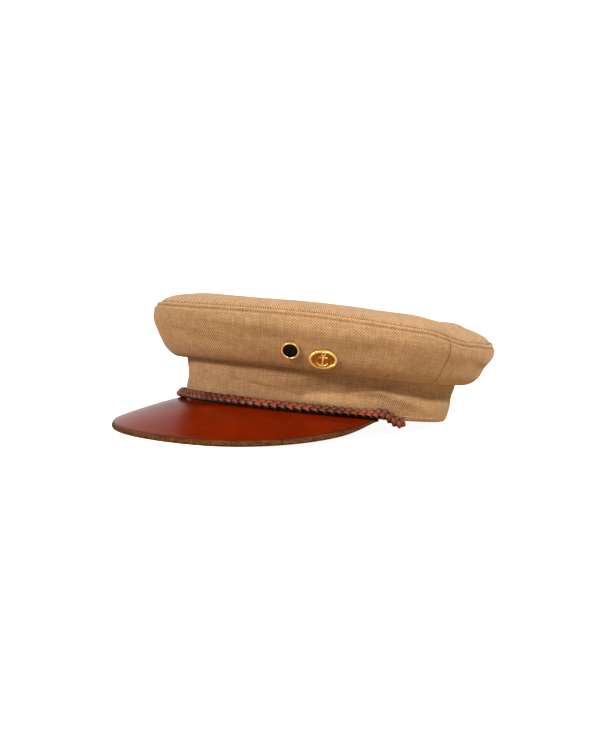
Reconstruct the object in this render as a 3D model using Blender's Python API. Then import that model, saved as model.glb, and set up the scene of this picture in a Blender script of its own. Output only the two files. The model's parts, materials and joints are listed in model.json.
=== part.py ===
"""Captain's hat: canvas crown and band, leather visor, leather braid, two gold pins.

Metres, +Z up, the visor points to -Y and the wearer's left is +X. Every piece is drawn
in the hat's own frame, whose level z = 0 is the band's lower edge, and the whole hat then
leans back until the visor's edge and the back of the band stand on the floor.
"""

import math

import bmesh
import bpy
import numpy as np
from mathutils import Matrix, Vector

# Clearance between neighbouring pieces
GAP = 0.0003

# Band: an upright wall of doubled canvas round the head
BAND_HALF_WIDTH = 0.0889
BAND_HALF_LENGTH = 0.1013
BAND_HEIGHT = 0.030
BAND_WALL = 0.0024
BAND_FLARE = 0.0044
BAND_LEAN = 0.0010

# Crown: side panels that swell out over the band, and a domed top panel
CLOTH_WALL = 0.0016
CROWN_REACH = 0.0303
CROWN_RISE = 0.0360
UNDERSIDE_SAG = 0.0024
PANEL_TURN = 0.0014
TOP_DOME = 0.0118
SEAM_ALLOWANCE = 0.0050
SIDE_SEAM_ANGLE = 90.0

# Visor: one thick piece of leather, pared thin where it is sewn to the band
VISOR_REACH = 0.0645
VISOR_THICKNESS = 0.0037
VISOR_PARED = 0.0016
VISOR_JOIN_HEIGHT = 0.0018
VISOR_CORNER_SINK = 0.0013
VISOR_HALF_ANGLE = 71.8
VISOR_SLOPE = 22.5
VISOR_CORNER_SLOPE = 15.6
VISOR_CORNER_WIDTH = 0.0015
VISOR_CAMBER = 0.12
VISOR_BEVEL = 0.0012
VISOR_FULLNESS = 2.4
VISOR_TAPER = 1.27

# Braid: three leather laces plaited flat, lying in the corner of band and visor
BRAID_WIDTH = 0.0066
BRAID_THICKNESS = 0.0042
BRAID_PITCH = 0.0055
BRAID_LOBE = 0.0004
BRAID_LEAN = 38.0
BRAID_SLACK = 0.0022
BRAID_TAIL_ANGLE = 12.0
BRAID_TAIL_HEIGHT = -0.0010
BRAID_TAIL_NARROWING = 0.15

# Round pin: a gold rim round a flat black inlay, with a post and a clutch behind
PIN_ANGLE = 34.5
PIN_HEIGHT_SHARE = 0.33
PIN_RADIUS = 0.0060
PIN_RIM = 0.0011
PIN_DEPTH = 0.0024
INLAY_DEPTH = 0.0011
INLAY_CROWN = 0.0003

# Badge: an oval gold plate with a rope edge and an anchor in relief
BADGE_ANGLE = 45.0
BADGE_HEIGHT_SHARE = 0.225
BADGE_HALF_WIDTH = 0.0095
BADGE_HALF_HEIGHT = 0.0072
BADGE_PLATE = 0.0011
BADGE_EDGE = 0.0009
BADGE_RELIEF = 0.0009

# Posts and clutches that hold the pin and the badge through the cloth
POST_RADIUS = 0.0006
CLUTCH_RADIUS = 0.0036
CLUTCH_DEPTH = 0.0022

# How far the floor flattens the lowest edges
PRESS = 0.0003

# How finely the surfaces are divided
AROUND = 60
VISOR_CLOSER = 0.6
BRAID_SIDES = 6
BRAID_STEPS = 4
ROUND_SIDES = 20
CLUTCH_SIDES = 12

# Colours and finishes: red, green, blue, roughness, metallic
CANVAS = (0.42, 0.25, 0.12, 0.90, 0.0)
VISOR_LEATHER = (0.20, 0.035, 0.008, 0.28, 0.0)
BRAID_LEATHER = (0.12, 0.030, 0.018, 0.45, 0.0)
GOLD = (0.90, 0.60, 0.22, 0.25, 1.0)
BLACK_ENAMEL = (0.006, 0.005, 0.005, 0.18, 0.0)
STEEL = (0.60, 0.58, 0.55, 0.30, 1.0)

# Height of the crown's rim: angle from the front, share of CROWN_RISE
RIM_HEIGHTS = (
    (0.0, 0.997),
    (45.0, 1.005),
    (60.0, 0.970),
    (75.0, 0.910),
    (90.0, 0.847),
    (105.0, 0.812),
    (120.0, 0.825),
    (135.0, 0.890),
    (155.0, 0.915),
    (180.0, 0.915),
)

# Fold of the side panel where it leaves the band: shares of PANEL_TURN out and up
PANEL_FOLD = (
    (0.0, 0.0),
    (0.6, 0.8),
)

# Section of the side panel: share of the way out, share of the rise from the underside
SIDE_SECTION = (
    (0.110, 0.026),
    (0.260, 0.000),
    (0.440, 0.056),
    (0.610, 0.174),
    (0.750, 0.340),
    (0.865, 0.505),
    (0.955, 0.650),
    (1.000, 0.760),
    (0.985, 0.865),
    (0.960, 0.915),
    (0.966, 0.955),
    (0.940, 1.000),
)

# Dome of the top panel: share of the way out from the middle, share of TOP_DOME
TOP_SECTION = (
    (0.980, 0.24),
    (0.935, 0.52),
    (0.860, 0.76),
    (0.740, 0.90),
    (0.520, 0.91),
    (0.250, 0.87),
)

# Soft dents (below zero) and swellings of the band: angle from the front, share of the
# height, half width in degrees, half height as a share, depth as a share of BAND_WALL
BAND_DENTS = (
    (-47.0, 0.22, 22.0, 0.16, 0.45),
    (14.0, 0.62, 16.0, 0.22, -0.35),
    (31.0, 0.36, 13.0, 0.18, 0.30),
    (52.0, 0.55, 14.0, 0.22, -0.40),
    (78.0, 0.45, 13.0, 0.22, 0.35),
    (104.0, 0.60, 12.0, 0.25, -0.30),
    (128.0, 0.35, 16.0, 0.25, 0.30),
)

# Slow waves of the side panels' fullness: waves round the hat, share of CROWN_REACH
PANEL_WAVES = (
    (3, 0.010),
    (7, -0.006),
    (11, 0.004),
)


def smooth_step(low, high, value):
    """Rise from 0 to 1 between two values, level at both ends."""
    share = min(max((value - low) / (high - low), 0.0), 1.0)
    return share * share * (3.0 - 2.0 * share)


def smooth_table(rows, place):
    """Read a two-column table at a place with level slopes at its first and last rows."""
    places = np.array([row[0] for row in rows])
    values = np.array([row[1] for row in rows])
    slopes = np.gradient(values, places)
    slopes[0] = 0.0
    slopes[-1] = 0.0
    index = int(np.clip(np.searchsorted(places, place) - 1, 0, len(rows) - 2))
    span = places[index + 1] - places[index]
    share = min(max((place - places[index]) / span, 0.0), 1.0)
    square = share * share
    cube = square * share
    return float(
        (2 * cube - 3 * square + 1) * values[index]
        + (cube - 2 * square + share) * span * slopes[index]
        + (3 * square - 2 * cube) * values[index + 1]
        + (cube - square) * span * slopes[index + 1]
    )


def wrapped(angle):
    """The same direction as an angle between -180 and 180 degrees."""
    return (angle + 180.0) % 360.0 - 180.0


def foot(angle):
    """Point of the band's outer lower edge, angle in degrees from the front to the left."""
    turn = math.radians(angle)
    return Vector((BAND_HALF_WIDTH * math.sin(turn), -BAND_HALF_LENGTH * math.cos(turn), 0.0))


def outward(angle):
    """Level direction square to the band at an angle."""
    turn = math.radians(angle)
    across = BAND_HALF_LENGTH * math.sin(turn)
    along = -BAND_HALF_WIDTH * math.cos(turn)
    return Vector((across, along, 0.0)).normalized()


def placed(angle, out, up):
    """Point at a distance out from the band's foot and a height above it."""
    return foot(angle) + outward(angle) * out + Vector((0.0, 0.0, up))


def band_out(angle, share):
    """How far the band's outer face stands out from its foot at a share of its height."""
    lean = (BAND_FLARE - BAND_LEAN * math.cos(math.radians(angle))) * share
    dent = 0.0
    for middle, level, half_width, half_height, depth in BAND_DENTS:
        across = wrapped(angle - middle) / half_width
        along = (share - level) / half_height
        dent += depth * BAND_WALL * math.exp(-across * across - along * along)
    edges = smooth_step(0.0, 0.2, share) * (1.0 - smooth_step(0.8, 1.0, share))
    return lean + dent * edges


def rim_height(angle):
    """Height of the crown's rim above the band's lower edge."""
    return BAND_HEIGHT + CROWN_RISE * smooth_table(RIM_HEIGHTS, abs(wrapped(angle)))


def side_section(angle):
    """Outer surface of the side panel at an angle, as (out, up) from the band to the rim."""
    turn = math.radians(angle)
    start = band_out(angle, 1.0)
    reach = CROWN_REACH
    for waves, share in PANEL_WAVES:
        reach += CROWN_REACH * share * math.cos(waves * turn)
    underside = BAND_HEIGHT - UNDERSIDE_SAG * (0.1 + 0.9 * math.sin(turn) ** 2)
    rise = rim_height(angle) - underside
    points = [(start + PANEL_TURN * out, BAND_HEIGHT + GAP + PANEL_TURN * up) for out, up in PANEL_FOLD]
    for out_share, up_share in SIDE_SECTION:
        points.append((start + (reach - start) * out_share, underside + rise * up_share))
    return np.array(points)


def section_normals(section):
    """Unit directions square to a section, pointing away from the hat's inside."""
    along = np.gradient(section, axis=0)
    square = np.column_stack([along[:, 1], -along[:, 0]])
    return square / np.linalg.norm(square, axis=1)[:, None]


def visor_edge(angle):
    """Length of the visor down its slope, and the slope, at an angle."""
    share = min(abs(angle) / VISOR_HALF_ANGLE, 1.0)
    full = (1.0 - share**VISOR_FULLNESS) ** VISOR_TAPER
    length = VISOR_CORNER_WIDTH + (VISOR_REACH - VISOR_CORNER_WIDTH) * full
    slope = VISOR_SLOPE + (VISOR_CORNER_SLOPE - VISOR_SLOPE) * share * share
    return length, math.radians(slope)


def visor_section(angle, share):
    """Top surface of the visor, as (out, up), at a share of its length from the band."""
    length, slope = visor_edge(angle)
    drop = share + VISOR_CAMBER * (share * share - share)
    join = VISOR_JOIN_HEIGHT - VISOR_CORNER_SINK * min(abs(angle) / VISOR_HALF_ANGLE, 1.0) ** 2
    start = GAP + max(band_out(angle, VISOR_JOIN_HEIGHT / BAND_HEIGHT), 0.0)
    return start + length * share * math.cos(slope), join - length * drop * math.sin(slope)


def make_material(name, look):
    """Material with one Principled shader."""
    material = bpy.data.materials.new(name)
    material.use_nodes = True
    shader = material.node_tree.nodes["Principled BSDF"]
    red, green, blue, roughness, metallic = look
    shader.inputs["Base Color"].default_value = (red, green, blue, 1.0)
    shader.inputs["Roughness"].default_value = roughness
    shader.inputs["Metallic"].default_value = metallic
    return material


def add_object(name, bm, look):
    """Turn a built mesh into a smooth-shaded object of the hat."""
    bmesh.ops.recalc_face_normals(bm, faces=bm.faces)
    mesh = bpy.data.meshes.new(name)
    bm.to_mesh(mesh)
    bm.free()
    mesh.shade_smooth()
    mesh.set_sharp_from_angle(angle=math.radians(40.0))
    mesh.materials.append(make_material(name, look))
    item = bpy.data.objects.new(name, mesh)
    bpy.context.scene.collection.objects.link(item)
    return item


def add_sheet(name, rows, closed, look, wall):
    """Cloth sheet through rows of points, given its wall on the inner side."""
    bm = bmesh.new()
    grid = [[bm.verts.new(point) for point in row] for row in rows]
    columns = len(grid[0])
    last = columns if closed else columns - 1
    for lower, upper in zip(grid, grid[1:]):
        for index in range(last):
            after = (index + 1) % columns
            if len(upper) == 1:
                bm.faces.new((lower[index], lower[after], upper[0]))
            else:
                bm.faces.new((lower[index], lower[after], upper[after], upper[index]))
    mesh = bpy.data.meshes.new(name)
    bm.to_mesh(mesh)
    bm.free()
    mesh.shade_smooth()
    mesh.materials.append(make_material(name, look))
    item = bpy.data.objects.new(name, mesh)
    bpy.context.scene.collection.objects.link(item)
    shell = item.modifiers.new("wall", "SOLIDIFY")
    shell.thickness = wall
    shell.offset = -1.0
    shell.use_even_offset = True
    shell.use_rim = True
    return item


def add_loft(name, sections, look):
    """Closed body through outlines with the same number of points, capped at both ends."""
    bm = bmesh.new()
    loops = [[bm.verts.new(point) for point in section] for section in sections]
    count = len(loops[0])
    for near, far in zip(loops, loops[1:]):
        for index in range(count):
            after = (index + 1) % count
            bm.faces.new((near[index], near[after], far[after], far[index]))
    bm.faces.new(loops[0])
    bm.faces.new(loops[-1])
    return add_object(name, bm, look)


def add_turned(name, profile, look, sides=ROUND_SIDES):
    """Body turned about its own Z axis from a (radius, height) profile."""
    bm = bmesh.new()
    points = [bm.verts.new((radius, 0.0, height)) for radius, height in profile]
    edges = [bm.edges.new(pair) for pair in zip(points, points[1:])]
    if profile[0][0] > 0.0:
        edges.append(bm.edges.new((points[-1], points[0])))
    bmesh.ops.spin(
        bm,
        geom=points + edges,
        cent=(0.0, 0.0, 0.0),
        axis=(0.0, 0.0, 1.0),
        angle=math.tau,
        steps=sides,
        use_merge=True,
    )
    bmesh.ops.remove_doubles(bm, verts=bm.verts, dist=0.00001)
    return add_object(name, bm, look)


def around(start, stop, steps):
    """Evenly spaced angles from start to stop, both included."""
    return [start + (stop - start) * index / steps for index in range(steps + 1)]


def make_band():
    """Band: a closed ring of cloth standing on its lower edge."""
    shares = (0.0, 0.2, 0.42, 0.62, 0.82, 1.0)
    angles = around(0.0, 360.0, AROUND)[:-1]
    rows = []
    for share in shares:
        rows.append([placed(angle, band_out(angle, share), BAND_HEIGHT * share) for angle in angles])
    return add_sheet("band", rows, True, CANVAS, BAND_WALL)


def seam_half_gap():
    """Half of the clearance at a side seam, in degrees round the hat."""
    return math.degrees(0.5 * GAP / (BAND_HALF_WIDTH + CROWN_REACH))


def make_side_panel(name, start, stop):
    """Side panel of the crown between two side seams."""
    edge = 1.2 * seam_half_gap()
    angles = around(start + edge, stop - edge, AROUND // 2)
    sections = [side_section(angle) for angle in angles]
    rows = []
    for index in range(len(sections[0])):
        rows.append([placed(angle, *section[index]) for angle, section in zip(angles, sections)])
    return add_sheet(name, rows, False, CANVAS, CLOTH_WALL)


def top_skirt(angle):
    """Turned-in edge of the top panel, as (out, up), from its lower end to the rim."""
    section = side_section(angle)
    inner = section - section_normals(section) * (CLOTH_WALL + GAP)
    rim = inner[-1]
    foot_point = np.array([inner[-3][0], rim[1] - SEAM_ALLOWANCE])
    return [foot_point, 0.5 * (foot_point + rim), rim]


def make_crown_top():
    """Top panel: a low dome whose edge turns down inside the side panels."""
    angles = around(0.0, 360.0, AROUND)[:-1]
    skirts = [top_skirt(angle) for angle in angles]
    rows = []
    for index in range(3):
        rows.append([placed(angle, *skirt[index]) for angle, skirt in zip(angles, skirts)])
    rim = rows[-1]
    middle_height = sum(point.z for point in rim) / len(rim)
    for out_share, dome_share in TOP_SECTION:
        row = []
        for point in rim:
            height = middle_height + (point.z - middle_height) * out_share + TOP_DOME * dome_share
            row.append(Vector((point.x * out_share, point.y * out_share, height)))
        rows.append(row)
    rows.append([Vector((0.0, 0.0, middle_height + TOP_DOME * TOP_SECTION[-1][1]))])
    return add_sheet("crown_top", rows, True, CANVAS, CLOTH_WALL)


def visor_outline(angle):
    """Outline of the visor's leather at an angle, from the band over the top and back."""
    length, slope = visor_edge(angle)
    shares = (0.0, 0.25, 0.5, 0.75)
    bevel = min(VISOR_BEVEL, 0.3 * length)
    tops = [visor_section(angle, share) for share in shares]
    tops.append(visor_section(angle, 1.0 - bevel / length))
    edge_out, edge_up = visor_section(angle, 1.0)
    thicker = VISOR_THICKNESS - VISOR_PARED
    depths = [VISOR_PARED + thicker * min(share / 0.3, 1.0) for share in shares]
    depth = VISOR_PARED + thicker * smooth_step(0.0, 0.5 * VISOR_REACH, length)
    bottoms = [(out, up - min(deep, depth)) for (out, up), deep in zip(tops, depths)]
    outline = tops + [(edge_out, edge_up - bevel), (edge_out, edge_up - depth)]
    outline += list(reversed(bottoms))
    return [placed(angle, out, up) for out, up in outline]


def visor_angles():
    """Angles of the visor's sections: those of the band, twice as close near the corners."""
    half_step = 180.0 / AROUND
    angles = []
    for index in range(int((VISOR_HALF_ANGLE - 0.5 * half_step) / half_step) + 1):
        if index % 2 == 0 or index * half_step > VISOR_CLOSER * VISOR_HALF_ANGLE:
            angles.append(index * half_step)
    angles += [0.5 * (angles[-1] + VISOR_HALF_ANGLE), VISOR_HALF_ANGLE]
    return [-angle for angle in reversed(angles[1:])] + angles


def make_visor():
    """Visor: leather that slopes down and out from the band's foot."""
    return add_loft("visor", [visor_outline(angle) for angle in visor_angles()], VISOR_LEATHER)


def braid_route(angle):
    """Centre of the braid as (out, up), and its lean, at an angle."""
    past = smooth_step(VISOR_HALF_ANGLE + 0.5, VISOR_HALF_ANGLE + 0.8 * BRAID_TAIL_ANGLE, abs(angle))
    upright = smooth_step(VISOR_HALF_ANGLE - 8.0, VISOR_HALF_ANGLE + 6.0, abs(angle))
    lean = math.radians(BRAID_LEAN) * (1.0 - upright)
    half_width = 0.5 * BRAID_WIDTH + BRAID_LOBE
    half_depth = 0.5 * BRAID_THICKNESS
    slack = BRAID_SLACK * max(math.cos(math.radians(angle)), 0.0)
    inward = math.hypot(half_width * math.sin(lean), half_depth * math.cos(lean))
    out = GAP + inward + slack + max(band_out(angle, 0.15), 0.0)
    length, slope = visor_edge(angle)
    share = min(out / (length * math.cos(slope)), 1.0)
    surface = visor_section(angle, share)[1]
    turn = lean - slope
    below = math.hypot(half_width * math.cos(turn), half_depth * math.sin(turn))
    lying = surface + (GAP + below) / math.cos(slope)
    return out, lying + (BRAID_TAIL_HEIGHT - lying) * past, lean


def make_braid():
    """Braid: a flat plait with lobed edges, its strands out of step on the two edges."""
    half_span = VISOR_HALF_ANGLE + BRAID_TAIL_ANGLE
    fine = around(-half_span, half_span, 720)
    centres = [placed(angle, *braid_route(angle)[:2]) for angle in fine]
    lengths = [0.0]
    for before, after in zip(centres, centres[1:]):
        lengths.append(lengths[-1] + (after - before).length)
    steps = BRAID_STEPS * round(lengths[-1] / BRAID_PITCH)
    sections = []
    for index in range(steps + 1):
        travel = lengths[-1] * index / steps
        angle = float(np.interp(travel, lengths, fine))
        out, up, lean = braid_route(angle)
        side = outward(angle)
        across = Vector((0.0, 0.0, math.cos(lean))) - side * math.sin(lean)
        face = side * math.cos(lean) + Vector((0.0, 0.0, math.sin(lean)))
        phase = math.tau * index / BRAID_STEPS
        end = 0.55 + 0.45 * smooth_step(0.0, BRAID_PITCH, min(travel, lengths[-1] - travel))
        tail = smooth_step(VISOR_HALF_ANGLE - 6.0, VISOR_HALF_ANGLE + 6.0, abs(angle))
        end *= 1.0 - BRAID_TAIL_NARROWING * tail
        section = []
        for corner in range(BRAID_SIDES):
            turn = math.tau * (corner + 0.5) / BRAID_SIDES
            sideways = math.sin(turn)
            lobe = BRAID_LOBE * math.cos(phase) * (1.0 if sideways > 0.0 else -1.0)
            wide = (0.5 * BRAID_WIDTH + lobe) * sideways * end
            deep = 0.5 * BRAID_THICKNESS * math.cos(turn) * end
            section.append(placed(angle, out, up) + across * wide + face * deep)
        sections.append(section)
    return add_loft("braid", sections, BRAID_LEATHER)


def panel_point(angle, share):
    """Point on the outside of the front panel at a share of the crown's rise."""
    section = side_section(angle)[len(PANEL_FOLD) + 1:]
    level = section[0][1] + share * (section[-1][1] - section[0][1])
    return placed(angle, float(np.interp(level, section[:, 1], section[:, 0])), level)


def panel_frame(angle, share):
    """Frame on the front panel: X sideways, Y up the cloth, Z out of it."""
    point = panel_point(angle, share)
    up_cloth = (panel_point(angle, share + 0.05) - panel_point(angle, share - 0.05)).normalized()
    sideways = Vector((0.0, 0.0, 1.0)).cross(outward(angle)).normalized()
    face = sideways.cross(up_cloth).normalized()
    frame = Matrix((sideways, up_cloth, face)).transposed().to_4x4()
    frame.translation = point
    return frame


def cloth_span(frame, angle, share, half_size):
    """Lowest and highest level of the cloth, square to a frame, within a half size of it."""
    inside = frame.inverted()
    degrees = math.degrees(half_size / (BAND_HALF_WIDTH + CROWN_REACH))
    rise = half_size / CROWN_RISE
    levels = []
    for across in around(-1.0, 1.0, 6):
        for along in around(-1.0, 1.0, 8):
            point = inside @ panel_point(angle + across * degrees, share + along * rise)
            if math.hypot(point.x, point.y) <= half_size:
                levels.append(point.z)
    return min(levels), max(levels)


def make_round_pin(frame, base, tail):
    """Round pin: gold rim with its post, and the black inlay set in it."""
    top = base + PIN_DEPTH
    seat = top - INLAY_DEPTH
    profile = [
        (0.0, tail),
        (POST_RADIUS, tail),
        (POST_RADIUS, base),
        (PIN_RADIUS - 0.3 * PIN_RIM, base),
        (PIN_RADIUS, base + 0.3 * PIN_RIM),
        (PIN_RADIUS, top - 0.4 * PIN_RIM),
        (PIN_RADIUS - 0.4 * PIN_RIM, top),
        (PIN_RADIUS - 0.8 * PIN_RIM, top),
        (PIN_RADIUS - PIN_RIM, top - 0.2 * PIN_RIM),
        (PIN_RADIUS - PIN_RIM, seat),
        (0.0, seat),
    ]
    rim = add_turned("pin_rim", profile, GOLD)
    inlay_radius = PIN_RADIUS - PIN_RIM - GAP
    inlay_top = top - 0.3 * PIN_RIM
    inlay = add_turned(
        "pin_inlay",
        [
            (0.0, seat + GAP),
            (inlay_radius, seat + GAP),
            (inlay_radius, inlay_top - INLAY_CROWN),
            (0.7 * inlay_radius, inlay_top - 0.4 * INLAY_CROWN),
            (0.0, inlay_top),
        ],
        BLACK_ENAMEL,
    )
    for item in (rim, inlay):
        item.matrix_world = frame


def make_clutch(name, frame, face):
    """Clutch: a button behind the cloth with a hole for the post."""
    hole = POST_RADIUS + GAP
    clutch = add_turned(
        name,
        [
            (hole, face - CLUTCH_DEPTH),
            (0.7 * CLUTCH_RADIUS, face - CLUTCH_DEPTH),
            (CLUTCH_RADIUS, face - 0.6 * CLUTCH_DEPTH),
            (CLUTCH_RADIUS, face),
            (hole, face),
        ],
        STEEL,
        CLUTCH_SIDES,
    )
    clutch.matrix_world = frame


def add_block(bm, size, centre, turn=0.0):
    """Box of a size about a centre, turned in the badge's plane."""
    spin = Matrix.Rotation(turn, 4, "Z")
    stretch = Matrix.Diagonal((size[0], size[1], size[2], 1.0))
    bmesh.ops.create_cube(bm, size=1.0, matrix=Matrix.Translation(centre) @ spin @ stretch)


def add_ring_part(bm, major, minor, centre, start, stop, steps, sides=6):
    """Bent bar: part of a ring in the badge's plane, with closed ends."""
    loops = []
    for turn in around(start, stop, steps):
        middle = Vector((math.cos(turn) * major, math.sin(turn) * major, 0.0)) + centre
        aside = Vector((math.cos(turn), math.sin(turn), 0.0))
        loop = []
        for index in range(sides):
            lift = math.tau * index / sides
            offset = aside * math.cos(lift) * minor + Vector((0.0, 0.0, math.sin(lift) * minor))
            loop.append(bm.verts.new(middle + offset))
        loops.append(loop)
    for near, far in zip(loops, loops[1:]):
        for index in range(sides):
            after = (index + 1) % sides
            bm.faces.new((near[index], near[after], far[after], far[index]))
    bm.faces.new(loops[0])
    bm.faces.new(loops[-1])


def join_onto(item, bm, name):
    """Fuse a built mesh onto a body with an exact union, and apply it."""
    tool = add_object(name, bm, GOLD)
    tool.matrix_world = item.matrix_world
    fuse = item.modifiers.new("fuse", "BOOLEAN")
    fuse.operation = "UNION"
    fuse.solver = "EXACT"
    fuse.object = tool
    state = bpy.context.evaluated_depsgraph_get()
    fused = bpy.data.meshes.new_from_object(item.evaluated_get(state))
    item.modifiers.clear()
    item.data = fused
    bpy.data.objects.remove(tool)


def make_badge(frame, base, tail):
    """Badge: oval plate with its post, a raised rope edge and a raised anchor."""
    top = base + BADGE_PLATE
    middle = base + 0.5 * BADGE_PLATE
    post = [(0.0, tail), (POST_RADIUS, tail), (POST_RADIUS, middle), (0.0, middle)]
    stem = add_turned("badge", post, GOLD)

    plate = bmesh.new()
    bmesh.ops.create_cone(
        plate,
        cap_ends=True,
        segments=28,
        radius1=1.0,
        radius2=0.96,
        depth=BADGE_PLATE,
        matrix=Matrix.Translation((0.0, 0.0, base + 0.5 * BADGE_PLATE))
        @ Matrix.Diagonal((BADGE_HALF_WIDTH, BADGE_HALF_HEIGHT, 1.0, 1.0)),
    )
    bpy.context.view_layer.update()
    join_onto(stem, plate, "plate_form")

    edge = bmesh.new()
    cord = 0.7 * BADGE_EDGE
    loops = []
    for turn in around(0.0, math.tau, 28)[:-1]:
        direction = Vector((math.cos(turn), math.sin(turn), 0.0))
        middle = Vector((
            math.cos(turn) * (BADGE_HALF_WIDTH - 2.0 * cord),
            math.sin(turn) * (BADGE_HALF_HEIGHT - 2.0 * cord),
            top,
        ))
        loop = []
        for corner in range(6):
            lift = math.tau * corner / 6
            offset = direction * math.cos(lift) * cord + Vector((0.0, 0.0, math.sin(lift) * cord))
            loop.append(edge.verts.new(middle + offset))
        loops.append(loop)
    for index, near in enumerate(loops):
        far = loops[(index + 1) % len(loops)]
        for corner in range(6):
            after = (corner + 1) % 6
            edge.faces.new((near[corner], near[after], far[after], far[corner]))
    join_onto(stem, edge, "edge_form")

    span = BADGE_HALF_HEIGHT - 2.4 * BADGE_EDGE
    relief = BADGE_RELIEF
    shank = bmesh.new()
    add_block(shank, (0.9 * relief, 1.55 * span, 1.6 * relief), (0.0, -0.05 * span, top + 0.1 * relief))
    join_onto(stem, shank, "shank_form")
    stock = bmesh.new()
    add_block(stock, (0.95 * span, 0.8 * relief, 1.4 * relief), (0.0, 0.38 * span, top + 0.05 * relief))
    join_onto(stem, stock, "stock_form")
    arms = bmesh.new()
    add_ring_part(
        arms, 0.68 * span, 0.55 * relief, Vector((0.0, -0.18 * span, top + 0.2 * relief)),
        math.radians(205.0), math.radians(335.0), 8,
    )
    join_onto(stem, arms, "arms_form")
    eye = bmesh.new()
    add_ring_part(
        eye, 0.2 * span, 0.35 * relief, Vector((0.0, 0.86 * span, top + 0.15 * relief)),
        math.radians(-75.0), math.radians(255.0), 9,
    )
    join_onto(stem, eye, "eye_form")
    stem.matrix_world = frame
    stem.data.shade_smooth()
    stem.data.set_sharp_from_angle(angle=math.radians(35.0))


def pierce(item, frame, name):
    """Cut the post's hole through a cloth panel."""
    depth = 12.0 * CLOTH_WALL
    bm = bmesh.new()
    bmesh.ops.create_cone(
        bm,
        cap_ends=True,
        segments=8,
        radius1=POST_RADIUS + GAP,
        radius2=POST_RADIUS + GAP,
        depth=depth,
    )
    cutter = add_object(name, bm, STEEL)
    cutter.matrix_world = frame
    cutter.hide_render = True
    cutter.display_type = "WIRE"
    cut = item.modifiers.new(name, "BOOLEAN")
    cut.operation = "DIFFERENCE"
    cut.solver = "EXACT"
    cut.object = cutter
    return cutter


def rest_matrix():
    """Lean the hat back until visor and band touch the floor, and centre it from end to end."""
    front = visor_outline(0.0)[6]
    back = foot(180.0)
    lean = math.atan2(back.z - front.z, back.y - front.y)
    turn = Matrix.Rotation(-lean, 4, "X")
    floor = min((turn @ front).z, (turn @ back).z)
    visor_end = min((turn @ point).y for point in visor_outline(0.0))
    crown_end = max((turn @ placed(180.0, *row)).y for row in side_section(180.0))
    return Matrix.Translation((0.0, -0.5 * (visor_end + crown_end), -floor - PRESS)) @ turn


def press_flat(item):
    """Flatten what would lie under the floor."""
    placing = item.matrix_world
    back = placing.inverted()
    for vertex in item.data.vertices:
        point = placing @ vertex.co
        if point.z < 0.0:
            vertex.co = back @ Vector((point.x, point.y, 0.0))


def main():
    """Clear the scene and build the hat."""
    for item in list(bpy.data.objects):
        bpy.data.objects.remove(item)

    hat = bpy.data.objects.new("hat", None)
    bpy.context.scene.collection.objects.link(hat)

    band = make_band()
    front_panel = make_side_panel("crown_side_front", -SIDE_SEAM_ANGLE, SIDE_SEAM_ANGLE)
    make_side_panel("crown_side_back", SIDE_SEAM_ANGLE, 360.0 - SIDE_SEAM_ANGLE)
    make_crown_top()
    visor = make_visor()
    make_braid()

    for name, angle, share, half_size, make_front in (
        ("pin", PIN_ANGLE, PIN_HEIGHT_SHARE, PIN_RADIUS, make_round_pin),
        ("badge", BADGE_ANGLE, BADGE_HEIGHT_SHARE, BADGE_HALF_HEIGHT, make_badge),
    ):
        frame = panel_frame(angle, share)
        base = GAP + cloth_span(frame, angle, share, half_size)[1]
        face = cloth_span(frame, angle, share, CLUTCH_RADIUS)[0] - CLOTH_WALL - 2.0 * GAP
        make_front(frame, base, face - CLUTCH_DEPTH - GAP)
        make_clutch(name + "_clutch", frame, face)
        pierce(front_panel, frame, name + "_hole")

    for item in bpy.data.objects:
        if item.type == "MESH":
            item.parent = hat
    hat.matrix_world = rest_matrix()
    bpy.context.view_layer.update()
    press_flat(band)
    press_flat(visor)


main()
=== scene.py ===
import json
import math
from contextlib import contextmanager

import bpy
import numpy as np
from mathutils import Matrix, Vector, noise


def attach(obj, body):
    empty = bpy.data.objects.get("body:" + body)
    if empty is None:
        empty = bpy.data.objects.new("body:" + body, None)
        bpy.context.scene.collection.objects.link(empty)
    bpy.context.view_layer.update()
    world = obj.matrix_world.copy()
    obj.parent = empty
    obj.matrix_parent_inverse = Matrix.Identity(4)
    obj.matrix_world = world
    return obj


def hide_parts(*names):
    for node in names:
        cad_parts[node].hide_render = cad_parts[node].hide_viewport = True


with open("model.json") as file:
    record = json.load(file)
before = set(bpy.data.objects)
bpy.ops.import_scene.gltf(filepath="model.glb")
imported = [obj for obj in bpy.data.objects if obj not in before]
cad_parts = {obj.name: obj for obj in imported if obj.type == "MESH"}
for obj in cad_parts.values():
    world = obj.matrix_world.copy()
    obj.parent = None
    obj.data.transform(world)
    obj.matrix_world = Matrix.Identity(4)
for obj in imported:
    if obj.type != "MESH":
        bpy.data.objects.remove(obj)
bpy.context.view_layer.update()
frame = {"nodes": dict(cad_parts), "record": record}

# Hat's own frame: the band's foot plane, read from the head opening
HEAD_OPENING = frame["record"]["mounts"][0]
HAT_UP = -Vector(HEAD_OPENING["axis"]).normalized()
HAT_LEFT = Vector((1.0, 0.0, 0.0))
HAT_BACK = HAT_UP.cross(HAT_LEFT)
UPRIGHT = np.array((0.0, 0.0, 1.0))


def turned_to(x_way, y_way, z_way, place):
    """Matrix with its three axes along some directions, and its middle at a place."""
    matrix = Matrix((x_way, y_way, z_way)).transposed().to_4x4()
    matrix.translation = place
    return matrix


REST = turned_to(HAT_LEFT, HAT_BACK, HAT_UP, Vector(HEAD_OPENING["pos_m"]))
REST_TURN = np.array(REST.to_3x3())
REST_PLACE = np.array(REST.translation)

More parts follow.
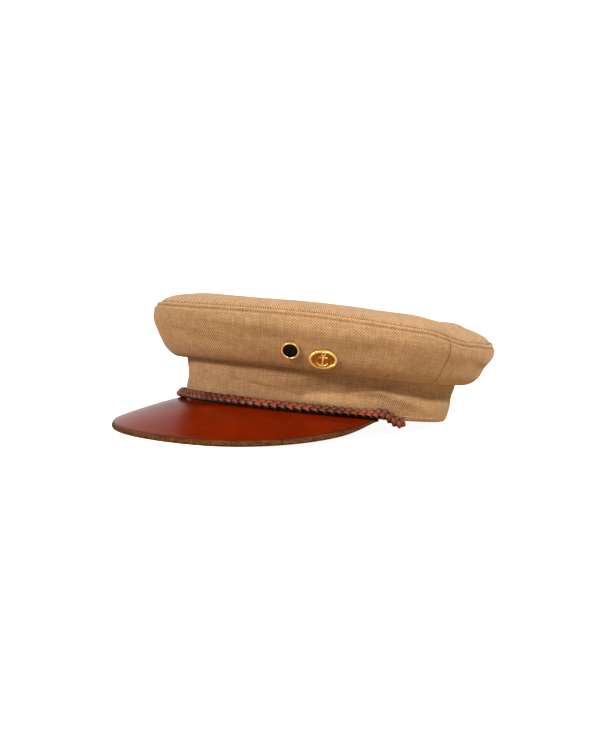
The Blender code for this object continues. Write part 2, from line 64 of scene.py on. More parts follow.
# Band and crown, in metres and degrees; the hem's wear is its strength and its height
GAP = 0.0003
BAND_HEIGHT = 0.030
BAND_WALL = 0.0018
BAND_FLARE = 0.0044
BAND_LEAN = 0.0010
HEM_RADIUS = 0.0021
HEM_WEAR = (0.7, 0.0022)
CLOTH_WALL = 0.0011
CROWN_REACH = 0.0303
CROWN_RISE = 0.0360
UNDERSIDE_SAG = 0.0024
PANEL_TURN = 0.0014
TOP_DOME = 0.0118
TOP_SINK = 0.0002
SEAM_ALLOWANCE = 0.0050

# Side seams: angle from the front, and how far each slants over the cloth's height and
# where it starts, in degrees; its groove, and the painted shade in it
SIDE_SEAM_ANGLE = 90.0
SEAM_SLANT = 3.7
SEAM_OFFSET = 1.5
SEAM_DEPTH = 0.0004
SEAM_WIDTH = 0.0009
SEAM_SHADE = -0.22
SEAM_SHADE_WIDTH = 0.0006

# Seam at the crown's rim: a rolled edge, and a row of stitches sunk in the cloth below
# it; the painted shade in its groove, the roll's rubbed paler top and the painted shade of
# the crease behind the roll, and the step that finds the cloth's slope
ROLL_RADIUS = 0.0011
WELT_DEPTH = 0.0034
GROOVE_DEPTH = 0.00070
GROOVE_WIDTH = 0.0007
WELT_PUFF = 0.00045
PUCKER_DEPTH = 0.00030
GROOVE_SHADE = -0.30
ROLL_WORN_AND_SHADED = (0.3, -0.5, -1.0, -1.0, -1.0)
STITCH_PITCH = 0.0030
STITCH_LENGTH = 0.0021
STITCH_RADIUS = 0.00024
STITCH_LIFT = 0.00012
WELT_STITCH_LIFT = 0.00005
FRAME_STEP = 0.0006

# Slow unevenness of the cloth: size of its waves and its depth
PANEL_UNREST = (0.024, 0.00045)
TOP_UNREST = (0.034, 0.0011)
BAND_UNREST = (0.018, 0.0005)

# Visor, with the rows of corners in its top, bevel, cut edge and underside
VISOR_REACH = 0.0645
VISOR_THICKNESS = 0.0037
VISOR_PARED = 0.0016
VISOR_JOIN_HEIGHT = 0.0018
VISOR_CORNER_SINK = 0.0013
VISOR_HALF_ANGLE = 71.8
VISOR_SLOPE = 22.5
VISOR_CORNER_SLOPE = 15.6
VISOR_CORNER_WIDTH = 0.0015
VISOR_CAMBER = 0.12
VISOR_BEVEL = 0.0007
VISOR_FULLNESS = 2.4
VISOR_TAPER = 1.27
BEVEL_ROUND = 0.084
EDGE_FUZZ = 0.00022
EDGE_ROUND = 0.0006
VISOR_SEWN_IN = 0.0010
VISOR_DIP = 0.0017
VISOR_DIP_ANGLE = -46.0
TOP_ROWS = 26
BEVEL_ROWS = 4
WALL_ROWS = 7
UNDER_ROWS = 14

# Braid: the whole of it, its three laces, and the dark strip under it that stands in for the shade between
# braid and visor
BRAID_WIDTH = 0.0066
BRAID_THICKNESS = 0.0042
BRAID_PITCH = 0.0055
BRAID_LOBE = 0.0004
BRAID_LEAN = 38.0
BRAID_SLACK = 0.0022
BRAID_TAIL_ANGLE = 12.0
BRAID_TAIL_HEIGHT = -0.0010
BRAID_HALF_SPAN = VISOR_HALF_ANGLE + BRAID_TAIL_ANGLE
LACE_WIDTH = 0.0034
LACE_THICKNESS = 0.0013
LACE_SWING = 0.00165
LACE_RISE = 0.00120
TAIL_GROWTH = 0.22
STRIP_WIDTH = 0.0046
STRIP_THICKNESS = 0.0008
STRIP_RAG = 0.0004
STRIP_SECTION = (
    (-1.0, -0.6), (-1.0, 0.6), (-0.8, 1.0), (0.8, 1.0), (1.0, 0.6), (1.0, -0.6), (0.8, -1.0), (-0.8, -1.0),
)

# Pin and badge: places on the crown as an angle and a share of its height, and measures
PIN_ANGLE = 34.5
PIN_HEIGHT_SHARE = 0.33
PIN_RADIUS = 0.0060
PIN_RIM = 0.0011
PIN_DEPTH = 0.0024
INLAY_DEPTH = 0.0011
INLAY_CLEARANCE = 0.00005
INLAY_SOFT_EDGE = 0.0002
BADGE_ANGLE = 45.0
BADGE_HEIGHT_SHARE = 0.225
BADGE_HALF_WIDTH = 0.0095
BADGE_HALF_HEIGHT = 0.0072
BADGE_PLATE = 0.0011
BADGE_SINK = 0.30 * BADGE_PLATE
BADGE_EDGE = 0.0009
BADGE_SOFT_EDGE = 0.00018
BADGE_RELIEF = 0.0009

# Rope round the badge: its half thickness, its strands and how deep they are cut, and how
# often they turn round it
ROPE_RADIUS = 0.62 * BADGE_EDGE
ROPE_STRANDS = 3.0
ROPE_CUT = 0.26
ROPE_TWISTS = 9.0

# Canvas, and the turn of the top panel's threads against the hat's length
THREAD_PITCH = 0.00095
TOP_GRAIN_TURN = 19.6

# Camera, in the hat's own frame: degrees round from the front, above level and rolled
CAMERA_DISTANCE = 1.0
CAMERA_AROUND = 42.805
CAMERA_ABOVE = 2.115
CAMERA_ROLL = 5.682
CAMERA_LENS = 64.94
SHIFT_RIGHT = -0.0243
SHIFT_UP = 0.0455

# Light: the surroundings' strength on the camera's side and behind the hat, and two lights
# as (name, degrees round from the camera, degrees above level, strength, width in degrees)
WORLD_NEAR = 0.12
WORLD_FAR = 1.03
LIGHTS = (
    ("soft light right", 50.0, 42.5, 2.9, 7.0),
    ("soft light left", -43.0, 27.0, 2.4, 12.0),
)
LIGHT_COLOUR = (1.0, 0.965, 0.92)
FLOOR_GLOW = 0.80

# Yellow thread: running stitches from and to an angle of the band at a share of its
# height, and single stitches as (angle, share of the height, turn in degrees, length)
BAND_RUN = (84.5, 104.5, 0.105, 0.085)
BAND_RUN_PITCH = 0.85 * STITCH_PITCH
BAND_KNOT = ((103.4, 0.088, 4.0, 1.0), (104.8, 0.100, -6.0, 0.9), (104.0, 0.075, 2.0, 0.8))
BAND_ENDS = ((78.0, 0.125, 20.0, 0.8), (80.5, 0.150, -25.0, 0.7), (82.6, 0.165, 15.0, 0.8))
RIM_ENDS = ((85.0, 0.0030, 8.0, 0.8), (87.4, 0.0036, -10.0, 0.7))

# Faint creases of the visor's top, each painted darker as shade in the crease, from and to
# (angle, share of its length), with its width in metres and its strength
VISOR_CREASES = (
    ((-3.0, 0.10), (-0.5, 0.48), 0.0007, 0.45),
    ((-0.5, 0.48), (-3.0, 0.95), 0.0007, 0.40),
    ((-22.0, 0.66), (-21.0, 0.98), 0.0006, 0.40),
    ((-4.0, 0.855), (-4.3, 0.862), 0.0007, 0.85),
)

# How finely the pieces are divided
SIDE_COLUMNS = 400
RING_COLUMNS = 420

# Height of the crown's rim: angle from the front, share of CROWN_RISE
RIM_HEIGHTS = (
    (0.0, 0.997),
    (45.0, 1.005),
    (60.0, 0.970),
    (75.0, 0.937),
    (82.0, 0.920),
    (89.0, 0.860),
    (96.0, 0.800),
    (108.0, 0.806),
    (120.0, 0.815),
    (135.0, 0.890),
    (155.0, 0.915),
    (180.0, 0.915),
)

# Section of the side panel: share of the way out, share of the rise from the underside
SIDE_SECTION = (
    (0.110, 0.026),
    (0.260, 0.000),
    (0.440, 0.056),
    (0.610, 0.174),
    (0.750, 0.335),
    (0.865, 0.485),
    (0.955, 0.610),
    (1.000, 0.715),
    (0.997, 0.795),
    (0.970, 0.875),
    (0.932, 0.945),
    (0.892, 1.000),
)

# Dome of the top panel: share of the way out from the middle, share of TOP_DOME
TOP_SECTION = (
    (0.978, 0.21),
    (0.935, 0.47),
    (0.860, 0.73),
    (0.740, 0.90),
    (0.520, 0.92),
    (0.250, 0.88),
    (0.000, 0.88),
)

# Slow waves of the side panels' fullness: waves round the hat, share of CROWN_REACH
PANEL_WAVES = (
    (3, 0.010),
    (7, -0.006),
    (11, 0.004),
)

# Soft folds of the side panels: angle, share of the way up the cloth, half width in
# degrees, half height as a share, slant in degrees over that height, depth in metres
CROWN_FOLDS = (
    (-44.0, 0.60, 10.0, 0.20, 6.0, 0.0005),
    (-20.0, 0.66, 9.0, 0.18, 5.0, 0.0007),
    (0.0, 0.56, 9.0, 0.14, -12.0, -0.0010),
    (2.0, 0.77, 13.0, 0.08, -4.0, -0.0008),
    (25.0, 0.66, 13.0, 0.10, -8.0, -0.0008),
    (-14.0, 0.90, 12.0, 0.06, 0.0, 0.0005),
    (60.0, 0.62, 10.0, 0.16, 9.0, -0.0007),
    (80.0, 0.64, 6.0, 0.22, -4.0, 0.0009),
    (98.0, 0.60, 5.0, 0.20, 4.0, -0.0012),
    (112.0, 0.76, 10.0, 0.12, -8.0, 0.0010),
    (128.0, 0.62, 14.0, 0.13, 0.0, -0.0013),
    (160.0, 0.62, 10.0, 0.16, 8.0, -0.0010),
    (182.0, 0.66, 12.0, 0.14, -8.0, 0.0009),
    (212.0, 0.60, 9.0, 0.16, 8.0, -0.0011),
    (238.0, 0.68, 10.0, 0.14, 6.0, 0.0009),
    (262.0, 0.60, 5.0, 0.18, -4.0, -0.0010),
    (281.0, 0.62, 7.0, 0.20, 5.0, 0.0008),
)

# Soft dents (below zero) and swellings of the band, as in the table above
BAND_DENTS = (
    (-47.0, 0.22, 22.0, 0.16, 0.0, 0.60 * BAND_WALL),
    (14.0, 0.62, 16.0, 0.22, 0.0, -0.47 * BAND_WALL),
    (31.0, 0.36, 13.0, 0.18, 0.0, 0.40 * BAND_WALL),
    (52.0, 0.55, 14.0, 0.22, 0.0, -0.53 * BAND_WALL),
    (78.0, 0.45, 13.0, 0.22, 0.0, 0.47 * BAND_WALL),
    (104.0, 0.60, 12.0, 0.25, 0.0, -0.40 * BAND_WALL),
    (128.0, 0.35, 16.0, 0.25, 0.0, 0.40 * BAND_WALL),
)

# Finer folds of the band, which aren't in the solids
BAND_FOLDS = (
    (-42.0, 0.62, 10.0, 0.16, 0.0, -0.0009),
    (-24.0, 0.45, 9.0, 0.20, 9.0, 0.0011),
    (4.0, 0.62, 12.0, 0.16, -6.0, 0.0016),
    (20.0, 0.52, 6.0, 0.10, -12.0, -0.0014),
    (33.0, 0.66, 9.0, 0.14, 4.0, 0.0017),
    (54.0, 0.72, 12.0, 0.16, 0.0, -0.0019),
    (46.0, 0.30, 16.0, 0.14, 0.0, 0.0013),
    (69.0, 0.62, 8.0, 0.13, 8.0, 0.0013),
    (82.0, 0.46, 7.0, 0.18, -12.0, 0.0016),
    (99.0, 0.72, 13.0, 0.17, 0.0, -0.0018),
    (108.0, 0.36, 12.0, 0.18, 4.0, 0.0010),
    (132.0, 0.60, 12.0, 0.18, 0.0, -0.0008),
    (158.0, 0.50, 9.0, 0.18, -10.0, 0.0012),
    (190.0, 0.60, 10.0, 0.16, 8.0, -0.0012),
    (222.0, 0.45, 9.0, 0.18, 12.0, 0.0012),
    (250.0, 0.62, 9.0, 0.16, -8.0, -0.0011),
    (278.0, 0.42, 8.0, 0.18, 9.0, 0.0011),
)

# Soft dents and swellings of the top panel: angle, share of the way out, half width in
# degrees and as a share of the way, height in metres
TOP_FOLDS = (
    (6.0, 0.86, 8.0, 0.10, -0.0008),
    (45.0, 0.82, 24.0, 0.16, -0.0006),
    (98.0, 0.86, 19.0, 0.12, 0.0026),
    (122.0, 0.90, 6.0, 0.10, -0.0006),
    (150.0, 0.84, 14.0, 0.12, -0.0010),
    (185.0, 0.86, 12.0, 0.14, 0.0012),
    (214.0, 0.84, 9.0, 0.12, -0.0014),
    (246.0, 0.86, 14.0, 0.12, 0.0010),
    (290.0, 0.86, 12.0, 0.12, -0.0010),
    (318.0, 0.84, 14.0, 0.14, -0.0009),
    (112.0, 0.88, 12.0, 0.10, 0.0014),
    (18.0, 0.52, 12.0, 0.22, -0.0014),
    (74.0, 0.46, 22.0, 0.20, -0.0017),
    (128.0, 0.58, 12.0, 0.20, -0.0016),
    (172.0, 0.44, 26.0, 0.18, -0.0013),
    (222.0, 0.60, 12.0, 0.20, -0.0017),
    (268.0, 0.48, 20.0, 0.22, -0.0014),
    (322.0, 0.58, 13.0, 0.20, -0.0014),
)


# Shape of the hat

def corners_of(mesh):
    """Corners of a mesh, a row each."""
    corners = np.empty(len(mesh.vertices) * 3)
    mesh.vertices.foreach_get("co", corners)
    return corners.reshape(-1, 3)


def to_world(points):
    """Points of the hat's own frame, placed as the hat rests."""
    return np.asarray(points) @ REST_TURN.T + REST_PLACE


def in_hat(points):
    """Points of the world, seen in the hat's own frame."""
    return (np.asarray(points) - REST_PLACE) @ REST_TURN


BAND_FOOT = in_hat(corners_of(frame["nodes"]["band"].data))
BAND_FOOT = BAND_FOOT[BAND_FOOT[:, 2] < 0.001]
BAND_HALF_WIDTH, BAND_HALF_LENGTH = np.abs(BAND_FOOT[:, :2]).max(axis=0).tolist()


def unit(vectors):
    """Directions of vectors, with length 1."""
    return vectors / np.linalg.norm(vectors, axis=-1, keepdims=True)


def travelled(points):
    """Distance from the first of some points, or rows of points, to each of them."""
    steps = np.linalg.norm(np.diff(points, axis=0), axis=-1)
    return np.concatenate([np.zeros_like(steps[:1]), np.cumsum(steps, axis=0)])


def bell(value, middle, width):
    """Bell curve, 1 at its middle."""
    return np.exp(-(((value - middle) / width) ** 2))


def smooth_step(low, high, value):
    """Rise from 0 to 1 between two values, level at both ends."""
    share = np.clip((np.asarray(value, float) - low) / (high - low), 0.0, 1.0)
    return share * share * (3.0 - 2.0 * share)


def curve_through(knots, values, slopes, places):
    """Smooth curve through values at knots, with slopes there, read at places."""
    index = np.clip(np.searchsorted(knots, places) - 1, 0, len(knots) - 2)
    span = knots[index + 1] - knots[index]
    share = np.clip((places - knots[index]) / span, 0.0, 1.0)
    if values.ndim > 1:
        span, share = span[:, None], share[:, None]
    square = share * share
    cube = square * share
    ends = (2 * cube - 3 * square + 1) * values[index] + (3 * square - 2 * cube) * values[index + 1]
    return ends + span * ((cube - 2 * square + share) * slopes[index] + (cube - square) * slopes[index + 1])


def smooth_line(points, shares):
    """Places at shares of the length of a smooth curve through a few points."""
    points = np.asarray(points, float)
    knots = travelled(points)
    fine = np.linspace(0.0, knots[-1], 30 * len(points))
    curve = curve_through(knots, points, np.gradient(points, knots, axis=0), fine)
    lengths = travelled(curve)
    wanted = np.asarray(shares) * lengths[-1]
    return np.column_stack([np.interp(wanted, lengths, column) for column in curve.T])


def table_value(rows, place):
    """Read a two-column table smoothly, level at its first and last rows."""
    places, values = np.array(rows).T
    slopes = np.gradient(values, places)
    slopes[[0, -1]] = 0.0
    return float(curve_through(places, values, slopes, place))


def ripple(*place):
    """Smooth noise between -1 and 1 at a place."""
    return noise.noise(Vector(place))


def cloth_unrest(points, size, depth):
    """Slow unevenness of cloth at some points, from a noise of a size."""
    return np.array([depth * noise.noise(Vector(point) / size) for point in points])


def fold_depth(folds, angle, shares):
    """Summed push of a table of soft folds at an angle, for each share of the height."""
    depth = np.zeros(len(shares))
    for middle, level, half_width, half_height, slant, push in folds:
        along = (shares - level) / half_height
        across = (wrapped(angle - middle) - slant * along) / half_width
        depth += push * np.exp(-across * across - along * along)
    return depth


def wrapped(angle):
    """The same direction as an angle between -180 and 180 degrees."""
    return (angle + 180.0) % 360.0 - 180.0


def foot(angle):
    """Point of the band's outer lower edge, angle in degrees from the front to the left."""
    turn = math.radians(angle)
    return np.array((BAND_HALF_WIDTH * math.sin(turn), -BAND_HALF_LENGTH * math.cos(turn), 0.0))


def outward(angle):
    """Level direction square to the band at an angle."""
    turn = math.radians(angle)
    return unit(np.array((BAND_HALF_LENGTH * math.sin(turn), -BAND_HALF_WIDTH * math.cos(turn), 0.0)))


def placed(angle, line):
    """Points of the hat's frame from (out, up) places at an angle."""
    line = np.atleast_2d(line)
    points = foot(angle) + line[:, :1] * outward(angle)
    points[:, 2] += line[:, 1]
    return points


def band_out(angle, shares):
    """How far the band's outer face stands out from its foot at shares of its height."""
    shares = np.atleast_1d(np.asarray(shares, float))
    lean = (BAND_FLARE - BAND_LEAN * math.cos(math.radians(angle))) * shares
    edges = smooth_step(0.0, 0.2, shares) * (1.0 - smooth_step(0.8, 1.0, shares))
    return lean + fold_depth(BAND_DENTS, angle, shares) * edges


def clear_of_band(angle, share):
    """Nearest place to the band at a share of its height, as a distance out."""
    return GAP + max(float(band_out(angle, share)[0]), 0.0)


def side_section(angle):
    """Main points of the side panel at an angle, as (out, up) from the band to the rim."""
    turn = math.radians(angle)
    start = float(band_out(angle, 1.0)[0])
    reach = CROWN_REACH * (1.0 + sum(share * math.cos(waves * turn) for waves, share in PANEL_WAVES))
    underside = BAND_HEIGHT - UNDERSIDE_SAG * (0.1 + 0.9 * math.sin(turn) ** 2)
    rise = BAND_HEIGHT + CROWN_RISE * table_value(RIM_HEIGHTS, abs(wrapped(angle))) - underside
    join = BAND_HEIGHT + GAP
    points = [(start, join), (start + 0.6 * PANEL_TURN, join + 0.8 * PANEL_TURN)]
    points += [(start + (reach - start) * out, underside + rise * up) for out, up in SIDE_SECTION]
    return np.array(points)


def seam_distance(angle):
    """Distance along the cloth from the nearer side seam, in metres."""
    return math.radians(abs(abs(wrapped(angle)) - SIDE_SEAM_ANGLE)) * (BAND_HALF_WIDTH + CROWN_REACH)


SIDE_SHARES = np.concatenate([np.linspace(0.0, 0.84, 42), np.linspace(0.84, 1.0, 30)[1:]])
ROLL_TURNS = np.radians(np.linspace(0.0, 135.0, 9)[1:])


def side_line(angle):
    """Finished outer line of the side panel at an angle, and its distances from the rim."""
    section = side_section(angle)
    length = travelled(section)[-1]
    line = smooth_line(section, SIDE_SHARES * (1.0 - ROLL_RADIUS / length))
    below = (1.0 - SIDE_SHARES) * length + ROLL_RADIUS
    along = unit(np.gradient(line, axis=0))
    square = np.column_stack([along[:, 1], -along[:, 0]])

    puckers = ripple(angle * 0.55, 0.0, 3.1) + 0.6 * ripple(angle * 1.3, 5.0, 0.7)
    push = -GROOVE_DEPTH * bell(below, WELT_DEPTH, GROOVE_WIDTH)
    push += WELT_PUFF * bell(below, 1.6 * WELT_DEPTH, 0.5 * WELT_DEPTH)
    push += 0.5 * WELT_PUFF * bell(below, 0.45 * WELT_DEPTH, 0.3 * WELT_DEPTH)
    push += PUCKER_DEPTH * puckers * bell(below, 1.4 * WELT_DEPTH, 1.3 * WELT_DEPTH)
    push += fold_depth(CROWN_FOLDS, angle, SIDE_SHARES)
    push += cloth_unrest(placed(angle, line), *PANEL_UNREST)
    push *= smooth_step(0.0, 0.12, SIDE_SHARES)
    push -= SEAM_DEPTH * bell(seam_distance(angle), 0.0, SEAM_WIDTH)
    line = line + square * push[:, None]

    along = unit(line[-1] - line[-2])
    out = np.array((along[1], -along[0]))
    middle = line[-1] - out * ROLL_RADIUS
    roll = [middle + ROLL_RADIUS * (out * math.cos(turn) + along * math.sin(turn)) for turn in ROLL_TURNS]
    return np.vstack([line, roll]), np.concatenate([below, np.zeros(len(roll))])


# Making meshes

def deselect():
    """Leave nothing selected."""
    bpy.ops.object.select_all(action="DESELECT")


def only(item):
    """Select one object and make it the active one."""
    deselect()
    item.select_set(True)
    bpy.context.view_layer.objects.active = item


@contextmanager
def editing(select="SELECT"):
    """Edit mode for the active object, with all or nothing selected, or as it was."""
    bpy.ops.object.mode_set(mode="EDIT")
    if select:
        bpy.ops.mesh.select_all(action=select)
    yield
    bpy.ops.object.mode_set(mode="OBJECT")


def add_object(name, data):
    """New object in the scene."""
    item = bpy.data.objects.new(name, data)
    bpy.context.scene.collection.objects.link(item)
    return item


def primitive(operator, name, **size):
    """New primitive, alone selected, with its place in its mesh."""
    deselect()
    operator(**size)
    item = bpy.context.object
    item.name = item.data.name = name
    bpy.ops.object.transform_apply(location=True, scale=True)
    return item


def apply_modifier(item, kind, name, **settings):
    """Give an object a modifier with settings, and apply it."""
    only(item)
    bpy.ops.object.modifier_add(type=kind)
    modifier = item.modifiers[-1]
    modifier.name = name
    for key, value in settings.items():
        setattr(modifier, key, value)
    bpy.ops.object.modifier_apply(modifier=name)


def soften(item, width, segments):
    """Round the sharp edges of a piece."""
    apply_modifier(
        item, "BEVEL", "soft edges",
        width=width, segments=segments, limit_method="ANGLE", angle_limit=math.radians(50.0),
    )


def merge_close(item, tidy_normals=False):
    """Join corners that lie on each other, and turn the faces outwards if asked."""
    only(item)
    with editing():
        bpy.ops.mesh.remove_doubles(threshold=0.000002)
        if tidy_normals:
            bpy.ops.mesh.normals_make_consistent(inside=False)


def smooth_shade(item, angle):
    """Smooth shading but for edges sharper than an angle."""
    only(item)
    bpy.ops.object.shade_smooth_by_angle(angle=math.radians(angle))


def shaped_grid(name, points, flat, row_slots=None, **marks):
    """Flat grid moved to rows of points, with flat places as UVs and marks as attributes."""
    rows, columns = points.shape[:2]
    item = primitive(
        bpy.ops.mesh.primitive_grid_add, name,
        x_subdivisions=columns - 1, y_subdivisions=rows - 1, size=1.0,
    )
    mesh = item.data
    corners = corners_of(mesh)
    column = np.rint((corners[:, 0] + 0.5) * (columns - 1)).astype(int)
    row = np.rint((corners[:, 1] + 0.5) * (rows - 1)).astype(int)
    mesh.vertices.foreach_set("co", to_world(points[row, column]).ravel())
    ends = np.empty(len(mesh.loops), int)
    mesh.loops.foreach_get("vertex_index", ends)
    mesh.uv_layers[0].data.foreach_set("uv", flat[row[ends], column[ends]].ravel())
    for label, values in marks.items():
        mark = mesh.attributes.new(label, "FLOAT", "POINT")
        mark.data.foreach_set("value", np.broadcast_to(values, (rows, columns))[row, column].ravel())
    if row_slots is not None:
        for face in mesh.polygons:
            face.material_index = row_slots[min(row[corner] for corner in face.vertices)]
    mesh.update()
    return item


def flat_places(points):
    """How far each point of a sheet lies along its rows and up its columns, in metres."""
    across = np.linalg.norm(np.diff(points, axis=1), axis=2).max(axis=0)
    rise = travelled(points)
    return np.stack([np.broadcast_to(np.append(0.0, np.cumsum(across)), rise.shape), rise], axis=-1)


def sweep(name, rings, **marks):
    """Closed tube through rings of points, with both ends drawn together."""
    first, last = (np.broadcast_to(ring.mean(axis=0), ring.shape)[None] for ring in (rings[0], rings[-1]))
    body = np.concatenate([first, rings, last])
    body = np.concatenate([body, body[:, :1]], axis=1)
    marks = {label: np.pad(values, ((1, 1), (0, 1)), mode="edge") for label, values in marks.items()}
    item = shaped_grid(name, body, flat_places(body), **marks)
    merge_close(item, tidy_normals=True)
    smooth_shade(item, 60.0)
    return item


def settle(item, material, slot, *nodes):
    """Material and place of a piece among the hat's solids."""
    if material is not None:
        item.data.materials.clear()
        item.data.materials.append(material)
    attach(item, "root")
    if nodes:
        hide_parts(*nodes)


def finish_cloth(item, wall, canvas, node):
    """Thickness, shading and place of a piece of cloth."""
    apply_modifier(item, "SOLIDIFY", "wall", thickness=wall, offset=-1.0)
    smooth_shade(item, 70.0)
    settle(item, canvas, "canvas", node)


# Materials

def feed(socket, value):
    """Link a socket to another node's output, or set its own value."""
    if isinstance(value, bpy.types.NodeSocket):
        socket.id_data.links.new(value, socket)
    elif value is not None:
        socket.default_value = (*value, 1.0) if socket.type == "RGBA" else value


def new_node(tree, kind, inputs, **settings):
    """Node with its settings, and its inputs fed by name or number."""
    node = tree.nodes.new(kind)
    for key, value in settings.items():
        setattr(node, key, value)
    for label, value in inputs.items():
        feed(node.inputs[label], value)
    return node


def own_tree(*values):
    """Node tree of the first socket among some values."""
    return next(value.id_data for value in values if isinstance(value, bpy.types.NodeSocket))


def calc(operation, *values):
    """Math node, with sockets or numbers as its inputs."""
    inputs = dict(enumerate(values))
    return new_node(own_tree(*values), "ShaderNodeMath", inputs, operation=operation).outputs[0]


def times(first, *others):
    """Product of sockets and numbers."""
    for other in others:
        first = calc("MULTIPLY", first, other)
    return first


def vector_calc(operation, first, second=None, scale=None):
    """Vector math node, with sockets or vectors as its inputs."""
    inputs = {0: first, 1: second, 3: scale}
    node = new_node(own_tree(first), "ShaderNodeVectorMath", inputs, operation=operation)
    return node.outputs["Value" if operation in ("DOT_PRODUCT", "LENGTH") else "Vector"]


def noise_value(vector, scale, detail=3.0, roughness=0.5):
    """Noise texture's grey value."""
    inputs = {"Vector": vector, "Scale": scale, "Detail": detail, "Roughness": roughness}
    return new_node(own_tree(vector), "ShaderNodeTexNoise", inputs).outputs["Fac"]


def mapped(value, low, high, to_low=0.0, to_high=1.0, kind="LINEAR"):
    """Map range node, clamped."""
    inputs = {"Value": value, "From Min": low, "From Max": high, "To Min": to_low, "To Max": to_high}
    node = new_node(own_tree(value), "ShaderNodeMapRange", inputs, interpolation_type=kind)
    return node.outputs["Result"]


def mixed(share, first, second):
    """Colour mix node."""
    inputs = {0: share, 6: first, 7: second}
    return new_node(own_tree(share), "ShaderNodeMix", inputs, data_type="RGBA").outputs[2]


def stretched(vector, scale):
    """Vector with each part multiplied, for grain that runs one way."""
    inputs = {"Vector": vector, "Scale": scale}
    return new_node(own_tree(vector), "ShaderNodeMapping", inputs).outputs["Vector"]


def new_group(name, inputs, outputs):
    """Shader node group with named inputs and outputs, each with its kind."""
    tree = bpy.data.node_groups.new(name, "ShaderNodeTree")
    for way, sockets in (("INPUT", inputs), ("OUTPUT", outputs)):
        for label, kind in sockets.items():
            tree.interface.new_socket(label, in_out=way, socket_type=f"NodeSocket{kind}")
    return tree, tree.nodes.new("NodeGroupInput").outputs, tree.nodes.new("NodeGroupOutput").inputs


def place_group(tree, group, **values):
    """Node of a group, with its inputs set by name (underscores stand for spaces)."""
    inputs = {label.replace("_", " "): value for label, value in values.items()}
    return new_node(tree, "ShaderNodeGroup", inputs, node_tree=group).outputs


def new_material(name, **values):
    """Material with one Principled shader, its tree, and the shader's sockets with values set."""
    material = bpy.data.materials.new(name)
    material.use_nodes = True
    shader = material.node_tree.nodes["Principled BSDF"].inputs
    for label, value in values.items():
        feed(shader[label.replace("_", " ")], value)
    return material, material.node_tree, shader


def bump(shader, height, distance, strength):
    """Bump node from a height to the shader's normal."""
    inputs = {"Strength": strength, "Distance": distance, "Height": height}
    feed(shader["Normal"], new_node(own_tree(height), "ShaderNodeBump", inputs).outputs["Normal"])


def uv_place(tree):
    """The piece's own flat places, in metres."""
    return tree.nodes.new("ShaderNodeUVMap").outputs["UV"]


def object_place(tree):
    """Place on the piece, in metres."""
    return tree.nodes.new("ShaderNodeTexCoord").outputs["Object"]


def mark_value(tree, label):
    """A piece's own attribute, as a number."""
    return new_node(tree, "ShaderNodeAttribute", {}, attribute_name=label).outputs["Fac"]


def build_weave_group():
    """Plain weave with slubs: over and under threads, one diagonal stronger if asked."""
    tree, given, out = new_group(
        "woven threads",
        {
            "Flat Place": "Vector", "Pitch": "Float", "Rib": "Float", "Wear": "Float",
            "Light": "Color", "Dark": "Color",
        },
        {"Color": "Color", "Height": "Float"},
    )
    place = given["Flat Place"]
    parts = new_node(tree, "ShaderNodeSeparateXYZ", {0: place}).outputs
    wander = times(calc("SUBTRACT", noise_value(place, 90.0), 0.5), 1.3)
    across, upward = (calc("ADD", calc("DIVIDE", parts[axis], given["Pitch"]), wander) for axis in "XY")
    rising = calc("COSINE", times(calc("SUBTRACT", across, upward), math.pi))
    falling = calc("COSINE", times(calc("ADD", across, upward), math.pi))
    rising_share = calc("MULTIPLY_ADD", given["Rib"], 0.5, 0.5)
    over = calc("ADD", times(rising, rising_share), times(falling, calc("SUBTRACT", 1.0, rising_share)))
    warp_top = calc("MULTIPLY_ADD", over, 0.5, 0.5)
    ways = ((800.0, 110.0, 1.0), (110.0, 800.0, 1.0))
    slubs = [noise_value(stretched(place, way), 1.0, 2.0) for way in ways]
    slub = mapped(times(calc("ADD", *slubs), 0.5), 0.36, 0.64, 0.80, 1.18)
    patch = mapped(noise_value(place, 30.0, 4.0, 0.6), 0.3, 0.7, 0.93, 1.06)
    # the mark above 0 pales the colour as rubbed wear; below 0 it darkens it as painted shade in grooves,
    # seams and creases
    tone_shift = times(mapped(given["Wear"], 0.0, 1.0, 1.0, 1.14), mapped(given["Wear"], -1.0, 0.0, 0.40, 1.0))
    warp, weft = (calc("ABSOLUTE", calc("COSINE", times(line, math.pi))) for line in (across, upward))
    threads = calc("MAXIMUM", times(warp, warp_top), times(weft, calc("SUBTRACT", 1.0, warp_top)))
    height = calc("ADD", times(threads, 0.35), times(warp_top, 0.65))
    # colour runs from Dark in the low places between threads to Light on the raised threads: the weave's
    # painted shade and highlight
    colour = mixed(mapped(height, 0.10, 0.90, kind="SMOOTHSTEP"), given["Dark"], given["Light"])
    feed(out["Color"], vector_calc("SCALE", colour, scale=times(slub, patch, tone_shift)))
    feed(out["Height"], times(height, slub))
    return tree


def build_leather_group():
    """Leather surface: fine pores, fine creases and slow mottling."""
    tree, given, out = new_group(
        "leather surface", {"Place": "Vector", "Pore Scale": "Float"}, {"Mottle": "Float", "Height": "Float"}
    )
    place = given["Place"]
    inputs = {"Vector": place, "Scale": given["Pore Scale"]}
    pores = new_node(tree, "ShaderNodeTexVoronoi", inputs, feature="DISTANCE_TO_EDGE")
    grain = mapped(pores.outputs["Distance"], 0.0, 0.25)
    fine = noise_value(place, 520.0, 5.0, 0.65)
    slow = noise_value(place, 45.0, 4.0, 0.6)
    feed(out["Mottle"], calc("ADD", times(slow, 0.75), times(fine, 0.25)))
    feed(out["Height"], calc("ADD", times(grain, 0.35), times(fine, 0.65)))
    return tree


